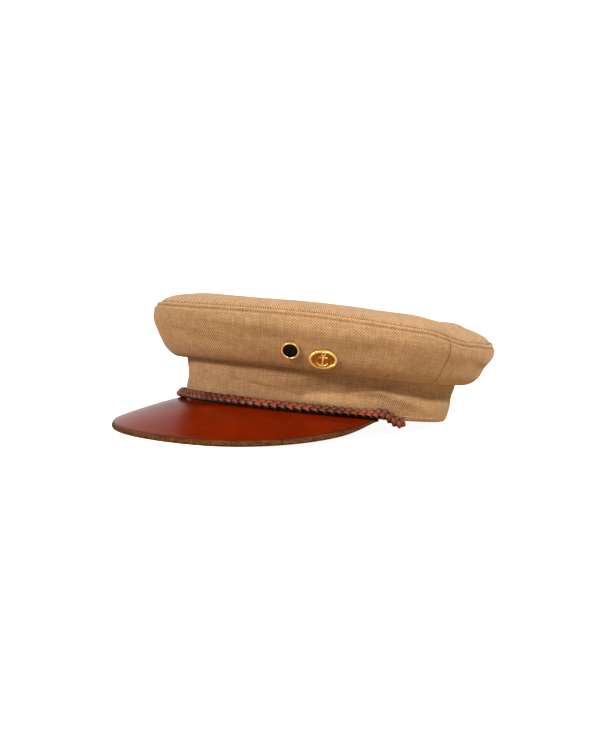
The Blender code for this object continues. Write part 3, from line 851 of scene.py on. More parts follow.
def build_line_group():
    """Mask of a thin line between two points, 1 on it and 0 beside it."""
    tree, given, out = new_group(
        "thin line",
        {"Place": "Vector", "Start": "Vector", "End": "Vector", "Width": "Float"},
        {"Mask": "Float"},
    )
    along = vector_calc("SUBTRACT", given["End"], given["Start"])
    reach = vector_calc("SUBTRACT", given["Place"], given["Start"])
    share = calc("DIVIDE", vector_calc("DOT_PRODUCT", reach, along), vector_calc("DOT_PRODUCT", along, along))
    nearest = vector_calc("SCALE", along, scale=mapped(share, 0.0, 1.0))
    distance = vector_calc("LENGTH", vector_calc("SUBTRACT", reach, nearest))
    feed(out["Mask"], mapped(distance, 0.0, given["Width"], 1.0, 0.0, "SMOOTHSTEP"))
    return tree


def tan_canvas():
    """Coarse tan canvas, dry and matt, rubbed paler on the edges, with painted shade in its seams, groove and
    crease.
    """
    material, tree, shader = new_material(
        "tan canvas", Roughness=0.9, Specular_IOR_Level=0.2,
        Sheen_Weight=0.12, Sheen_Roughness=0.45, Sheen_Tint=(1.0, 0.86, 0.68),
    )
    threads = place_group(
        tree, build_weave_group(), Flat_Place=uv_place(tree), Pitch=THREAD_PITCH,
        Rib=mark_value(tree, "rib"), Wear=mark_value(tree, "worn"),
        # Dark is the painted shade between the threads, Light the raised threads
        Light=(0.496, 0.330, 0.191), Dark=(0.202, 0.105, 0.045),
    )
    feed(shader["Base Color"], threads["Color"])
    bump(shader, threads["Height"], 0.00030, 0.6)
    return material


def visor_top_leather(leather):
    """Russet leather, waxed and polished, dark along its edge, with painted shade along a few faint creases.
    """
    material, tree, shader = new_material("russet leather", Specular_IOR_Level=0.05)
    place = object_place(tree)
    surface = place_group(tree, leather, Place=place, Pore_Scale=1500.0)
    shade = mapped(surface["Mottle"], 0.25, 0.75)
    colour = mixed(shade, (0.106, 0.0075, 0.0000), (0.164, 0.0165, 0.0001))
    line = build_line_group()
    distance_in = new_node(tree, "ShaderNodeSeparateXYZ", {0: uv_place(tree)}).outputs["Y"]
    marks = mapped(distance_in, 0.0003, 0.0012, 0.92, 0.0)
    for start, stop, width, strength in VISOR_CREASES:
        start, stop = (tuple(to_world(placed(spot[0], visor_top(*spot)))[0]) for spot in (start, stop))
        crease = place_group(tree, line, Place=place, Start=start, End=stop, Width=width)["Mask"]
        marks = calc("MAXIMUM", marks, times(crease, strength))
    # marks: dark along the edge, and painted shade along each crease
    feed(shader["Base Color"], mixed(marks, colour, (0.030, 0.006, 0.002)))
    feed(shader["Roughness"], mapped(surface["Mottle"], 0.2, 0.8, 0.23, 0.28))
    bump(shader, calc("SUBTRACT", surface["Height"], times(marks, 1.5)), 0.00003, 0.5)
    return material


def pored(leather, pore_scale):
    """Mottling and height of a leather surface, for two_shades."""
    def grain(tree):
        surface = place_group(tree, leather, Place=object_place(tree), Pore_Scale=pore_scale)
        return surface["Mottle"], surface["Height"], surface["Height"]
    return grain


def speckled(*noise_settings):
    """One noise for shade, roughness and height, for two_shades."""
    return lambda tree: [noise_value(object_place(tree), *noise_settings)] * 3


def brushed(tree):
    """Stains of the gold colour, and finer marks for its height, for two_shades."""
    place = object_place(tree)
    stain = noise_value(place, 900.0, 4.0, 0.6)
    return stain, stain, noise_value(place, 2200.0, 2.0)


def fibrous(leather):
    """Loose fibres of cut leather, for two_shades."""
    def grain(tree):
        place = object_place(tree)
        surface = place_group(tree, leather, Place=place, Pore_Scale=1800.0)
        fibres = noise_value(stretched(place, (500.0, 500.0, 1900.0)), 1.0, 4.0, 0.7)
        return [times(calc("ADD", fibres, surface["Height"]), 0.5)] * 3
    return grain


def two_shades(name, grain, span, dark, light, rough=None, relief=None, painted_shade=None, **values):
    """Material between two colours, with roughness and height from the same grain.

    The span is the grain's range that goes from dark to light, rough is a pair of
    roughnesses, relief a bump's distance and strength, and painted_shade the colour of
    painted shade where the piece's mark "open" is 0.
    """
    material, tree, shader = new_material(name, **values)
    shade, gloss, height = grain(tree)
    colour = mixed(mapped(shade, *span) if span else shade, dark, light)
    if painted_shade:
        colour = mixed(mark_value(tree, "open"), painted_shade, colour)
    feed(shader["Base Color"], colour)
    if rough:
        feed(shader["Roughness"], mapped(gloss, 0.3, 0.7, *rough))
    if relief:
        bump(shader, height, *relief)
    return material


def gold_metal(name, dark, light, polish):
    """Warm gold colour, a little uneven."""
    return two_shades(
        name, brushed, (0.35, 0.65), dark, light, (polish, polish + 0.12), (0.00004, 0.5), Metallic=1.0
    )


def thread(name, light, dark):
    """Twisted sewing thread."""
    return two_shades(
        name, speckled(3200.0, 2.0), (0.35, 0.65), dark, light,
        relief=(0.0001, 0.6), Roughness=0.75, Sheen_Weight=0.1,
    )


# Pieces

def make_side_panel(node, start, stop, canvas):
    """Side panel of the crown between two side seams, which slant a little."""
    edge = math.degrees(0.6 * GAP / (BAND_HALF_WIDTH + CROWN_REACH))
    middle = 0.5 * (start + stop)
    half = 0.5 * (stop - start) - edge
    shares = np.concatenate([SIDE_SHARES, np.ones(len(ROLL_TURNS))])
    slants = (SEAM_OFFSET - SEAM_SLANT * shares) * math.copysign(1.0, math.cos(math.radians(middle)))
    columns, worn = [], []
    for even in np.linspace(-1.0, 1.0, SIDE_COLUMNS):
        angle = middle + half * even
        line, below = side_line(angle)
        turns = angle + slants * even**3
        columns.append(np.vstack([placed(turn, point) for turn, point in zip(turns, line)]))
        # rubbed paler ridge below the rim; painted shade in the stitched groove, along the side seam and in
        # the roll's inner rows
        ridge = np.exp(-((below / (0.45 * WELT_DEPTH)) ** 4))
        ridge[-len(ROLL_WORN_AND_SHADED):] = ROLL_WORN_AND_SHADED
        groove = bell(below, WELT_DEPTH, 1.1 * GROOVE_WIDTH)
        seam = bell(seam_distance(angle), 0.0, SEAM_SHADE_WIDTH)
        worn.append(np.clip(ridge + GROOVE_SHADE * groove + SEAM_SHADE * seam, -1.0, 1.0))
    points = np.stack(columns, axis=1)
    item = shaped_grid(f"{node}_cloth", points, flat_places(points), rib=0.30, worn=np.stack(worn, axis=1))
    finish_cloth(item, CLOTH_WALL, canvas, node)


def top_line(angle, middle_height):
    """Line of the top panel at an angle, from its turned-in edge behind the rim to the middle."""
    before, start = side_line(angle)[0][len(SIDE_SHARES) - 2:len(SIDE_SHARES)]
    along = unit(start - before)
    out, up = start - np.array((along[1], -along[0])) * ROLL_RADIUS
    line = list(placed(angle, [
        (out - ROLL_RADIUS - GAP, up - SEAM_ALLOWANCE),
        (out - ROLL_RADIUS - GAP, up - 0.4 * ROLL_RADIUS),
        (out - 0.88 * ROLL_RADIUS, up + 0.95 * ROLL_RADIUS),
    ]))
    rim = placed(angle, (out, up + 0.6 * ROLL_RADIUS))[0]
    for out_share, dome_share in TOP_SECTION:
        height = middle_height + (rim[2] - middle_height) * out_share + TOP_DOME * dome_share
        line.append(np.array((rim[0] * out_share, rim[1] * out_share, height)))
    return np.array(line)


def make_top(canvas):
    """Top panel: a low dome, puckered a little where it goes under the rolled rim."""
    angles = np.linspace(0.0, 360.0, RING_COLUMNS + 1)
    middle_height = float(np.mean([side_section(angle)[-1][1] for angle in angles[:-1]])) - TOP_SINK
    shares = np.concatenate([np.linspace(0.0, 0.30, 34), np.linspace(0.30, 1.0, 26)[1:]])
    inside = smooth_step(0.07, 0.22, shares) * (1.0 - smooth_step(0.9, 1.0, shares))
    columns = []
    for angle in angles:
        line = smooth_line(top_line(angle, middle_height), shares)
        turn = math.radians(angle)
        pucker = ripple(math.cos(turn) * 18.0, math.sin(turn) * 18.0, 2.0)
        lift = cloth_unrest(line, *TOP_UNREST) * inside
        lift += PUCKER_DEPTH * pucker * bell(shares, 0.12, 0.05)
        out_share = np.hypot(line[:, 0], line[:, 1]) / np.hypot(line[3, 0], line[3, 1])
        for middle, level, half_width, half_way, height in TOP_FOLDS:
            apart = np.radians(wrapped(angle - middle)) * out_share
            sideways = bell(apart, 0.0, math.radians(half_width))
            lift += height * inside * sideways * bell(out_share, level, half_way)
        line[:, 2] += lift
        columns.append(line)
    points = np.stack(columns, axis=1)
    grain = math.radians(TOP_GRAIN_TURN)
    cosine, sine = math.cos(grain), math.sin(grain)
    flat = points[:, :, :2] @ np.array(((cosine, -sine), (sine, cosine)))
    # painted shade of the crease where the top panel tucks under the rolled rim
    worn = -0.6 * np.exp(-((shares / 0.056) ** 8))[:, None]
    item = shaped_grid("crown_top_cloth", points, flat, rib=-0.6, worn=worn)
    merge_close(item)
    finish_cloth(item, CLOTH_WALL, canvas, "crown_top")


def band_line(angle):
    """Finished outer line of the band at an angle, from its turned hem to the top."""
    shares = np.linspace(0.0, 1.0, 40)
    out = band_out(angle, shares) + fold_depth(BAND_FOLDS, angle, shares)
    line = np.column_stack([out, shares * BAND_HEIGHT])
    unrest = cloth_unrest(placed(angle, line), *BAND_UNREST)
    line[:, 0] += unrest * smooth_step(0.0, 0.15, shares) * (1.0 - smooth_step(0.85, 1.0, shares))
    clear = float(smooth_step(VISOR_HALF_ANGLE - 2.0, VISOR_HALF_ANGLE + 6.0, abs(wrapped(angle))))
    radius = HEM_RADIUS * (0.2 + 0.8 * clear)
    hem = [
        (out[0] - radius * (1.0 - math.cos(turn)), radius * (1.0 - math.sin(turn)))
        for turn in np.radians(np.linspace(110.0, 0.0, 6)[:-1])
    ]
    return np.vstack([hem, line[line[:, 1] > HEM_RADIUS]])


def make_band(canvas):
    """Band: cloth with a soft hem, puffed a little below the crown."""
    angles = np.linspace(0.0, 360.0, RING_COLUMNS + 1)
    points = np.stack([placed(angle, band_line(angle)) for angle in angles], axis=1)
    rib = -np.clip((np.abs(wrapped(angles - 42.0)) - 18.0) / 30.0, 0.0, 0.5)
    tone_shift, height = HEM_WEAR
    worn = tone_shift * bell(points[:, :, 2], 0.0, height)
    item = shaped_grid("band_cloth", points, flat_places(points), rib=rib[None, :], worn=worn)
    merge_close(item)
    finish_cloth(item, BAND_WALL, canvas, "band")


def visor_edge(angle):
    """Length of the visor down its slope, and the slope, at an angle."""
    share = min(abs(angle) / VISOR_HALF_ANGLE, 1.0)
    full = (1.0 - share**VISOR_FULLNESS) ** VISOR_TAPER
    slope = VISOR_SLOPE + (VISOR_CORNER_SLOPE - VISOR_SLOPE) * share * share
    return VISOR_CORNER_WIDTH + (VISOR_REACH - VISOR_CORNER_WIDTH) * full, math.radians(slope)


def visor_top(angle, shares):
    """Top of the visor, as (out, up), at shares of its length from the band."""
    shares = np.atleast_1d(np.asarray(shares, float))
    length, slope = visor_edge(angle)
    drop = shares + VISOR_CAMBER * (shares * shares - shares)
    dip = VISOR_DIP * bell(angle, VISOR_DIP_ANGLE, 15.0) * shares * shares
    join = VISOR_JOIN_HEIGHT - VISOR_CORNER_SINK * min(abs(angle) / VISOR_HALF_ANGLE, 1.0) ** 2
    sewn_in = VISOR_SEWN_IN * np.clip(1.0 - 30.0 * shares, 0.0, 1.0)
    out = clear_of_band(angle, VISOR_JOIN_HEIGHT / BAND_HEIGHT) + length * shares * math.cos(slope) - sewn_in
    return np.column_stack([out, join - length * drop * math.sin(slope) - dip])


def visor_line(angle):
    """Outline of the visor's leather at an angle: top, bevel, cut edge and underside."""
    length = visor_edge(angle)[0]
    bevel = min(VISOR_BEVEL, 0.3 * length)
    thicker = VISOR_THICKNESS - VISOR_PARED
    depth = VISOR_PARED + thicker * float(smooth_step(0.0, 0.5 * VISOR_REACH, length))
    last = 1.0 - bevel / length
    top = visor_top(angle, np.linspace(0.0, last, TOP_ROWS))
    out, up = visor_top(angle, 1.0)[0]
    slant = np.array((out, up - bevel)) - top[-1]
    chamfer = [
        top[-1] + slant * share + BEVEL_ROUND * bevel * math.sin(math.pi * share)
        for share in np.linspace(0.0, 1.0, BEVEL_ROWS + 1)[1:]
    ]
    wall = []
    for share in np.linspace(0.0, 1.0, WALL_ROWS + 1)[1:]:
        fuzz = ripple(angle * 0.9, share * 2.0, 4.0) + 0.7 * ripple(angle * 3.1, share * 5.0, 1.0)
        bulge = 0.10 * depth * math.sin(math.pi * share) + EDGE_FUZZ * fuzz
        round_off = EDGE_ROUND * float(smooth_step(0.75, 1.0, share))
        wall.append((out + bulge - round_off, up - bevel - share * (depth - bevel)))
    under_shares = np.linspace(last, 0.0, UNDER_ROWS)
    under = visor_top(angle, under_shares)
    under[:, 1] -= np.minimum(VISOR_PARED + thicker * np.minimum(under_shares / 0.3, 1.0), depth)
    return np.vstack([top, chamfer, wall, under])


def make_visor(*leathers):
    """Visor: one thick piece of leather, polished on top and raw at the cut edge."""
    even = np.linspace(-1.0, 1.0, 161)
    angles = VISOR_HALF_ANGLE * (0.55 * np.sin(0.5 * math.pi * even) + 0.45 * even)
    points = np.stack([placed(angle, visor_line(angle)) for angle in angles], axis=1)
    points = np.concatenate([points, points[:1]])
    left, right = (
        np.broadcast_to(side.mean(axis=0), side.shape)[:, None] for side in (points[:, 0], points[:, -1])
    )
    points = np.concatenate([left, points, right], axis=1)
    slots = [0] * (TOP_ROWS - 1) + [1] * BEVEL_ROWS + [2] * (WALL_ROWS + UNDER_ROWS + 2)
    lengths = travelled(points)
    round_edge = np.broadcast_to(travelled(points[TOP_ROWS - 1]), lengths.shape)
    flat = np.stack([round_edge, lengths[TOP_ROWS - 1] - lengths], axis=-1)
    item = shaped_grid("visor_leather", points, flat, slots)
    merge_close(item, tidy_normals=True)
    smooth_shade(item, 38.0)
    for material in leathers:
        item.data.materials.append(material)
    for corner in item.data.vertices:
        corner.co.z = max(corner.co.z, 0.0)
    settle(item, None, "visor_leather", "visor")


def braid_route(angle):
    """Centre of the braid as (out, up), and its lean, at an angle."""
    past = float(smooth_step(VISOR_HALF_ANGLE + 0.5, VISOR_HALF_ANGLE + 0.8 * BRAID_TAIL_ANGLE, abs(angle)))
    upright = float(smooth_step(VISOR_HALF_ANGLE - 8.0, VISOR_HALF_ANGLE + 6.0, abs(angle)))
    lean = math.radians(BRAID_LEAN) * (1.0 - upright)
    half_width = 0.5 * BRAID_WIDTH + BRAID_LOBE
    half_depth = 0.5 * BRAID_THICKNESS
    slack = BRAID_SLACK * max(math.cos(math.radians(angle)), 0.0)
    inward = math.hypot(half_width * math.sin(lean), half_depth * math.cos(lean))
    out = clear_of_band(angle, 0.15) + inward + slack
    length, slope = visor_edge(angle)
    surface = visor_top(angle, min(out / (length * math.cos(slope)), 1.0))[0][1]
    turn = lean - slope
    below = math.hypot(half_width * math.cos(turn), half_depth * math.sin(turn))
    lying = surface + (GAP + below) / math.cos(slope)
    return out, lying + (BRAID_TAIL_HEIGHT - lying) * past, lean


def braid_length():
    """Angles all along the braid, and the distance from its start to each."""
    angles = np.linspace(-BRAID_HALF_SPAN, BRAID_HALF_SPAN, 900)
    return angles, travelled(np.array([placed(angle, braid_route(angle)[:2])[0] for angle in angles]))


def braid_frames(count):
    """Evenly spaced places along the braid, with the ways across and out of it, and its size."""
    angles, lengths = braid_length()
    places = np.linspace(0.0, lengths[-1], count)
    frames = []
    for travel, angle in zip(places, np.interp(places, lengths, angles)):
        out, up, lean = braid_route(angle)
        side = outward(angle)
        end = 0.80 + 0.20 * smooth_step(0.0, 0.4 * BRAID_PITCH, min(travel, lengths[-1] - travel))
        tail = smooth_step(VISOR_HALF_ANGLE - 6.0, VISOR_HALF_ANGLE + 6.0, abs(angle))
        frames.append((
            placed(angle, (out, up))[0],
            UPRIGHT * math.cos(lean) - side * math.sin(lean),
            side * math.cos(lean) + UPRIGHT * math.sin(lean),
            np.full(3, end * (1.0 + TAIL_GROWTH * tail)),
        ))
    return np.swapaxes(np.array(frames), 0, 1)


def make_braid(lace, shade_strip):
    """Braid: three flat laces, each crossing over and under the other two."""
    cycles = round(braid_length()[1][-1] / (3.0 * BRAID_PITCH))
    count = cycles * 40 + 1
    middle, across, face, size = braid_frames(count)
    corners = np.linspace(0.0, math.tau, 13)[:-1]
    sideways, lifted = (np.abs(part) ** 0.6 * np.sign(part) for part in (np.cos(corners), np.sin(corners)))
    lifted = (0.5 * LACE_THICKNESS * lifted * (1.25 - 0.25 * sideways**2))[:, None]
    sideways = (0.5 * LACE_WIDTH * sideways)[:, None]
    steps = np.arange(count)
    to_end = np.minimum(steps, count - 1 - steps) * cycles / (0.10 * count)
    drawn = (0.55 + 0.45 * np.minimum(to_end, 1.0))[:, None] * size
    laces = []
    for strand in range(3):
        turns = math.tau * (cycles * np.linspace(0.0, 1.0, count) + strand / 3.0)[:, None]
        path = middle + drawn * (across * LACE_SWING * np.sin(turns) + face * LACE_RISE * np.sin(2.0 * turns))
        along = unit(np.gradient(path, axis=0))
        wide = unit(np.cross(face, along))
        thick = np.cross(along, wide)
        rings = path[:, None] + (wide * size)[:, None] * sideways + (thick * size)[:, None] * lifted
        # mark "open": 0 gives painted shade where the lace passes under the others and on its back side
        raised = smooth_step(-0.25, 0.45, np.sin(2.0 * turns))
        faced = smooth_step(0.05, 0.85, np.sin(corners))[None, :]
        laces.append(sweep(f"braid_lace_{strand + 1}", rings, open=(raised * (0.06 + 0.94 * faced)) ** 2.1))
    # dark strip below the braid: painted shade in the gap between braid and visor
    strip = []
    shares = np.linspace(-1.0, 1.0, len(middle[::5]))
    for share, place, way, out, scale in zip(shares, middle[::5], across[::5], face[::5], size[::5]):
        if abs(share) * BRAID_HALF_SPAN > VISOR_HALF_ANGLE - 2.0:
            continue
        ragged = STRIP_RAG * ripple(share * 160.0, 0.0, 7.0)
        low = place - out * (0.42 * BRAID_THICKNESS) - way * (0.0002 + ragged)
        strip.append([
            low + way * (0.5 * STRIP_WIDTH * scale * aside) + out * (0.5 * STRIP_THICKNESS * lift)
            for aside, lift in STRIP_SECTION
        ])
    settle(sweep("braid_shade_strip", np.array(strip)), shade_strip, "braid_leather")
    for item in laces[1:]:
        settle(item, lace, "braid_leather")
    settle(laces[0], lace, "braid_leather", "braid")


def stitch_template():
    """One stitch along X: a stretched ball."""
    item = primitive(bpy.ops.mesh.primitive_uv_sphere_add, "stitch", segments=8, ring_count=6, radius=1.0)
    with editing():
        bpy.ops.transform.resize(value=(0.5 * STITCH_LENGTH, STITCH_RADIUS, STITCH_RADIUS))
    mesh = item.data.copy()
    bpy.data.objects.remove(item)
    return mesh


def sew(name, template, frames, material):
    """Row of stitches: copies of one stitch at frames, as one piece."""
    corners = corners_of(template)
    faces = [tuple(face.vertices) for face in template.polygons]
    points, sides = [], []
    for index, (centre, along, across, face, stretch) in enumerate(frames):
        points.append(corners @ np.column_stack([along * stretch, across, face]).T + centre)
        sides += [tuple(corner + index * len(corners) for corner in side) for side in faces]
    mesh = bpy.data.meshes.new(name)
    mesh.from_pydata(to_world(np.vstack(points)).tolist(), [], sides)
    item = add_object(name, mesh)
    smooth_shade(item, 80.0)
    settle(item, material, "canvas")


def cloth_frame(angle, low, place, high):
    """Place on the cloth at an angle, with the ways along, up and out of the cloth there."""
    low, place, high = placed(angle, [low, place, high])
    up = unit(high - low)
    along = unit(np.cross(UPRIGHT, outward(angle)))
    return place, along, up, unit(np.cross(along, up))


def side_frame(angle, below):
    """Frame on the finished side panel a distance below the rim."""
    line, distances = (values[:len(SIDE_SHARES)] for values in side_line(angle))
    low, place = (
        [np.interp(-distance, -distances, column) for column in line.T]
        for distance in (below + FRAME_STEP, below)
    )
    return cloth_frame(angle, low, place, place)


def band_frame(angle, share):
    """Frame on the outside of the band at a share of its height."""
    line = band_line(angle)
    levels = share * BAND_HEIGHT + np.array((-FRAME_STEP, 0.0, FRAME_STEP))
    return cloth_frame(angle, *((np.interp(level, line[:, 1], line[:, 0]), level) for level in levels))


def stitch_at(place, turn=0.0, stretch=1.0, lift=STITCH_LIFT):
    """Frame of a single stitch, turned in the cloth's plane."""
    centre, along, up, face = place
    turn = math.radians(turn)
    slanted = along * math.cos(turn) + up * math.sin(turn)
    return centre + face * lift, slanted, np.cross(face, slanted), face, stretch


def make_welt_stitches(template, material):
    """Row of stitches in the groove below the rolled rim, all round the crown."""
    girth = math.tau * math.sqrt(
        0.5 * ((BAND_HALF_WIDTH + CROWN_REACH) ** 2 + (BAND_HALF_LENGTH + CROWN_REACH) ** 2)
    )
    count = round(girth / STITCH_PITCH)
    angles = -180.0 + 360.0 * (np.arange(count) + 0.5) / count
    frames = [stitch_at(side_frame(angle, WELT_DEPTH), lift=WELT_STITCH_LIFT) for angle in angles]
    sew("welt_stitches", template, frames, material)


def make_yellow_thread(template, material):
    """Running stitches with a knot on the band behind the braid, and loose ends by the seam."""
    start, stop, first_share, last_share = BAND_RUN
    count = round(math.radians(stop - start) * BAND_HALF_LENGTH / BAND_RUN_PITCH)
    frames = []
    for place in (np.arange(count) + 0.5) / count:
        share = first_share + (last_share - first_share) * place
        frames.append(stitch_at(band_frame(start + (stop - start) * place, share), stretch=1.05))
    for angle, share, turn, stretch in BAND_KNOT + BAND_ENDS:
        frames.append(stitch_at(band_frame(angle, share), turn, stretch))
    for angle, below, turn, stretch in RIM_ENDS:
        frames.append(stitch_at(side_frame(angle, below), turn, stretch))
    sew("yellow_thread", template, frames, material)


def panel_point(angle, share):
    """Point on the outside of the front panel at a share of the crown's rise."""
    section = side_section(angle)[3:]
    level = section[0][1] + share * (section[-1][1] - section[0][1])
    return placed(angle, (np.interp(level, section[:, 1], section[:, 0]), level))[0]


def panel_frame(angle, share):
    """Frame on the front panel: X sideways, Y up the cloth, Z out of it."""
    up_cloth = Vector(panel_point(angle, share + 0.05) - panel_point(angle, share - 0.05)).normalized()
    sideways = Vector(UPRIGHT).cross(Vector(outward(angle))).normalized()
    face = sideways.cross(up_cloth).normalized()
    return REST @ turned_to(sideways, up_cloth, face, Vector(panel_point(angle, share)))


def solid_in(place, node):
    """Corners of a solid, seen in a frame."""
    inside = place.inverted()
    return np.array([inside @ corner.co for corner in frame["nodes"][node].data.vertices])


def round_plate(name, radius, depth, low, sides=72):
    """Round plate standing on a level."""
    return primitive(
        bpy.ops.mesh.primitive_cylinder_add, name,
        vertices=sides, radius=radius, depth=depth, location=(0.0, 0.0, low + 0.5 * depth),
    )


def sink_middle(plate, rim, depth):
    """Sink the top of a plate inside a rim, and leave the sunk ground selected."""
    with editing("DESELECT"):
        bpy.ops.mesh.select_mode(type="FACE")
    for face in plate.data.polygons:
        face.select = face.normal.z > 0.9
    with editing(None):
        bpy.ops.mesh.inset(thickness=rim)
        bpy.ops.mesh.extrude_region_move(TRANSFORM_OT_translate={"value": (0.0, 0.0, -depth)})


def seat(item, place, sharp, material, slot, node):
    """Shade a piece modelled at the origin, and move its mesh to its frame."""
    smooth_shade(item, sharp)
    item.data.transform(place)
    item.data.update()
    settle(item, material, slot, node)


def make_pin(gold, enamel):
    """Round pin: a rim with rounded edges, and the black inlay set in it."""
    place = panel_frame(PIN_ANGLE, PIN_HEIGHT_SHARE)
    base = float(solid_in(place, "pin_rim")[:, 2].max()) - PIN_DEPTH
    rim = round_plate("pin_rim_metal", PIN_RADIUS, PIN_DEPTH, base)
    sink_middle(rim, PIN_RIM, INLAY_DEPTH)
    soften(rim, 0.38 * PIN_RIM, 4)
    seat(rim, place, 40.0, gold, "gold", "pin_rim")

    low = base + PIN_DEPTH - 0.35 * PIN_RIM - 0.7 * INLAY_DEPTH
    inlay = round_plate("pin_inlay_enamel", PIN_RADIUS - PIN_RIM - INLAY_CLEARANCE, 0.7 * INLAY_DEPTH, low)
    soften(inlay, INLAY_SOFT_EDGE, 3)
    seat(inlay, place, 40.0, enamel, "black_enamel", "pin_inlay")


def rings_round(turns, lifts, middles, wide, high):
    """Rings of a tube that bends round the badge's middle, one at each turn."""
    ways = np.column_stack([np.cos(turns), np.sin(turns), np.zeros(len(turns))])
    rings = middles[:, None] + ways[:, None] * (np.cos(lifts) * wide)[..., None]
    return in_hat(rings + UPRIGHT * (np.sin(lifts) * high)[..., None])


def make_badge(gold, old_gold):
    """Badge: oval plate with a dished middle, a twisted rope edge and an anchor in relief."""
    place = panel_frame(BADGE_ANGLE, BADGE_HEIGHT_SHARE)
    corners = solid_in(place, "badge")
    wide = corners[np.hypot(corners[:, 0] / BADGE_HALF_WIDTH, corners[:, 1] / BADGE_HALF_HEIGHT) > 0.9]
    base = float(wide[:, 2].min())
    top = base + BADGE_PLATE
    low = top - BADGE_SINK

    plate = round_plate("badge_metal", BADGE_HALF_WIDTH, BADGE_PLATE, base, 96)
    with editing():
        bpy.ops.transform.resize(value=(1.0, BADGE_HALF_HEIGHT / BADGE_HALF_WIDTH, 1.0))
    sink_middle(plate, 1.9 * BADGE_EDGE, BADGE_SINK)
    for metal in (gold, old_gold):
        plate.data.materials.append(metal)
    for face in plate.data.polygons:
        face.material_index = 1 if face.select else 0
    soften(plate, BADGE_SOFT_EDGE, 3)

    turns = np.linspace(0.0, math.tau, 289)
    lifts = np.linspace(0.0, math.tau, 13)[:-1]
    middles = np.column_stack([
        np.cos(turns) * (BADGE_HALF_WIDTH - 2.0 * ROPE_RADIUS),
        np.sin(turns) * (BADGE_HALF_HEIGHT - 2.0 * ROPE_RADIUS),
        np.full(len(turns), top),
    ])
    strand = ROPE_RADIUS * (1.0 + ROPE_CUT * np.cos(ROPE_STRANDS * (lifts + ROPE_TWISTS * turns[:, None])))
    body = rings_round(turns, lifts, middles, strand, strand)
    body = np.concatenate([body, body[:, :1]], axis=1)
    rope = shaped_grid("badge_rope", body, flat_places(body))
    merge_close(rope, tidy_normals=True)
    parts = [rope]

    span = BADGE_HALF_HEIGHT - 2.2 * BADGE_EDGE
    for size, height in (
        ((1.15 * BADGE_RELIEF, 1.5 * span, 1.5 * BADGE_RELIEF), -0.05 * span),
        ((1.15 * span, 1.0 * BADGE_RELIEF, 1.3 * BADGE_RELIEF), 0.40 * span),
    ):
        bar = primitive(
            bpy.ops.mesh.primitive_cube_add, "badge_bar",
            size=1.0, location=(0.0, height, low + 0.5 * size[2]), scale=size,
        )
        soften(bar, 0.22 * BADGE_RELIEF, 3)
        parts.append(bar)

    degrees = np.linspace(200.0, 340.0, 29)
    turns = np.radians(degrees)
    lifts = np.linspace(0.0, math.tau, 11)[:-1]
    swing = np.abs(degrees - 270.0) / 70.0
    thick = BADGE_RELIEF * (0.60 + 0.34 * smooth_step(0.78, 0.9, swing) - 0.7 * smooth_step(0.9, 1.0, swing))
    middles = np.column_stack([
        0.72 * span * np.cos(turns),
        0.72 * span * np.sin(turns) - 0.12 * span,
        np.full(len(turns), low + 0.5 * BADGE_RELIEF),
    ])
    parts.append(sweep("badge_arms", rings_round(turns, lifts, middles, thick[:, None], 0.8 * BADGE_RELIEF)))

    parts.append(primitive(
        bpy.ops.mesh.primitive_torus_add, "badge_ring",
        major_segments=28, minor_segments=10, major_radius=0.21 * span, minor_radius=0.42 * BADGE_RELIEF,
        location=(0.0, 0.86 * span, low + 0.5 * BADGE_RELIEF),
    ))
    only(plate)
    for part in parts:
        part.data.materials.clear()
        part.data.materials.append(gold)
        part.select_set(True)
    bpy.ops.object.join()
    seat(plate, place, 45.0, None, "gold", "badge")


def make_stage():
    """Plain pale floor, which glows for the camera alone."""
    floor = primitive(bpy.ops.mesh.primitive_plane_add, "floor", size=30.0, location=(0.0, 0.0, 0.0))
    material, tree, shader = new_material(
        "pale floor, lit from below",
        Roughness=0.9, Base_Color=(0.62, 0.50, 0.36), Emission_Strength=FLOOR_GLOW,
    )
    feed(shader["Emission Color"], tree.nodes.new("ShaderNodeLightPath").outputs["Is Camera Ray"])
    floor.data.materials.append(material)


def sight(around, above):
    """Direction at degrees round from the hat's front and above level."""
    around, above = math.radians(around), math.radians(above)
    return Vector((math.sin(around) * math.cos(above), -math.cos(around) * math.cos(above), math.sin(above)))


def make_light():
    """White studio, brightest behind the hat, with a soft light from each side of the camera."""
    world = bpy.data.worlds.new("studio")
    world.use_nodes = True
    tree = world.node_tree
    background = tree.nodes["Background"].inputs
    feed(background["Color"], (1.0, 1.0, 1.0))
    around = tree.nodes.new("ShaderNodeTexCoord").outputs["Generated"]
    ahead = vector_calc("DOT_PRODUCT", around, tuple(-sight(CAMERA_AROUND, 0.0)))
    seen = tree.nodes.new("ShaderNodeLightPath").outputs["Is Camera Ray"]
    lighting = mapped(ahead, -0.5, 0.65, WORLD_NEAR, WORLD_FAR)
    feed(background["Strength"], calc("MAXIMUM", lighting, times(seen, WORLD_FAR)))
    bpy.context.scene.world = world

    for name, sideways, above, strength, width in LIGHTS:
        data = bpy.data.lights.new(name, "SUN")
        data.energy = strength
        data.angle = math.radians(width)
        data.color = LIGHT_COLOUR
        way = sight(CAMERA_AROUND + sideways, above)
        add_object(name, data).rotation_euler = way.to_track_quat("Z", "Y").to_euler()
    bpy.context.scene.view_settings.view_transform = "Standard"
    bpy.context.scene.view_settings.look = "Medium High Contrast"


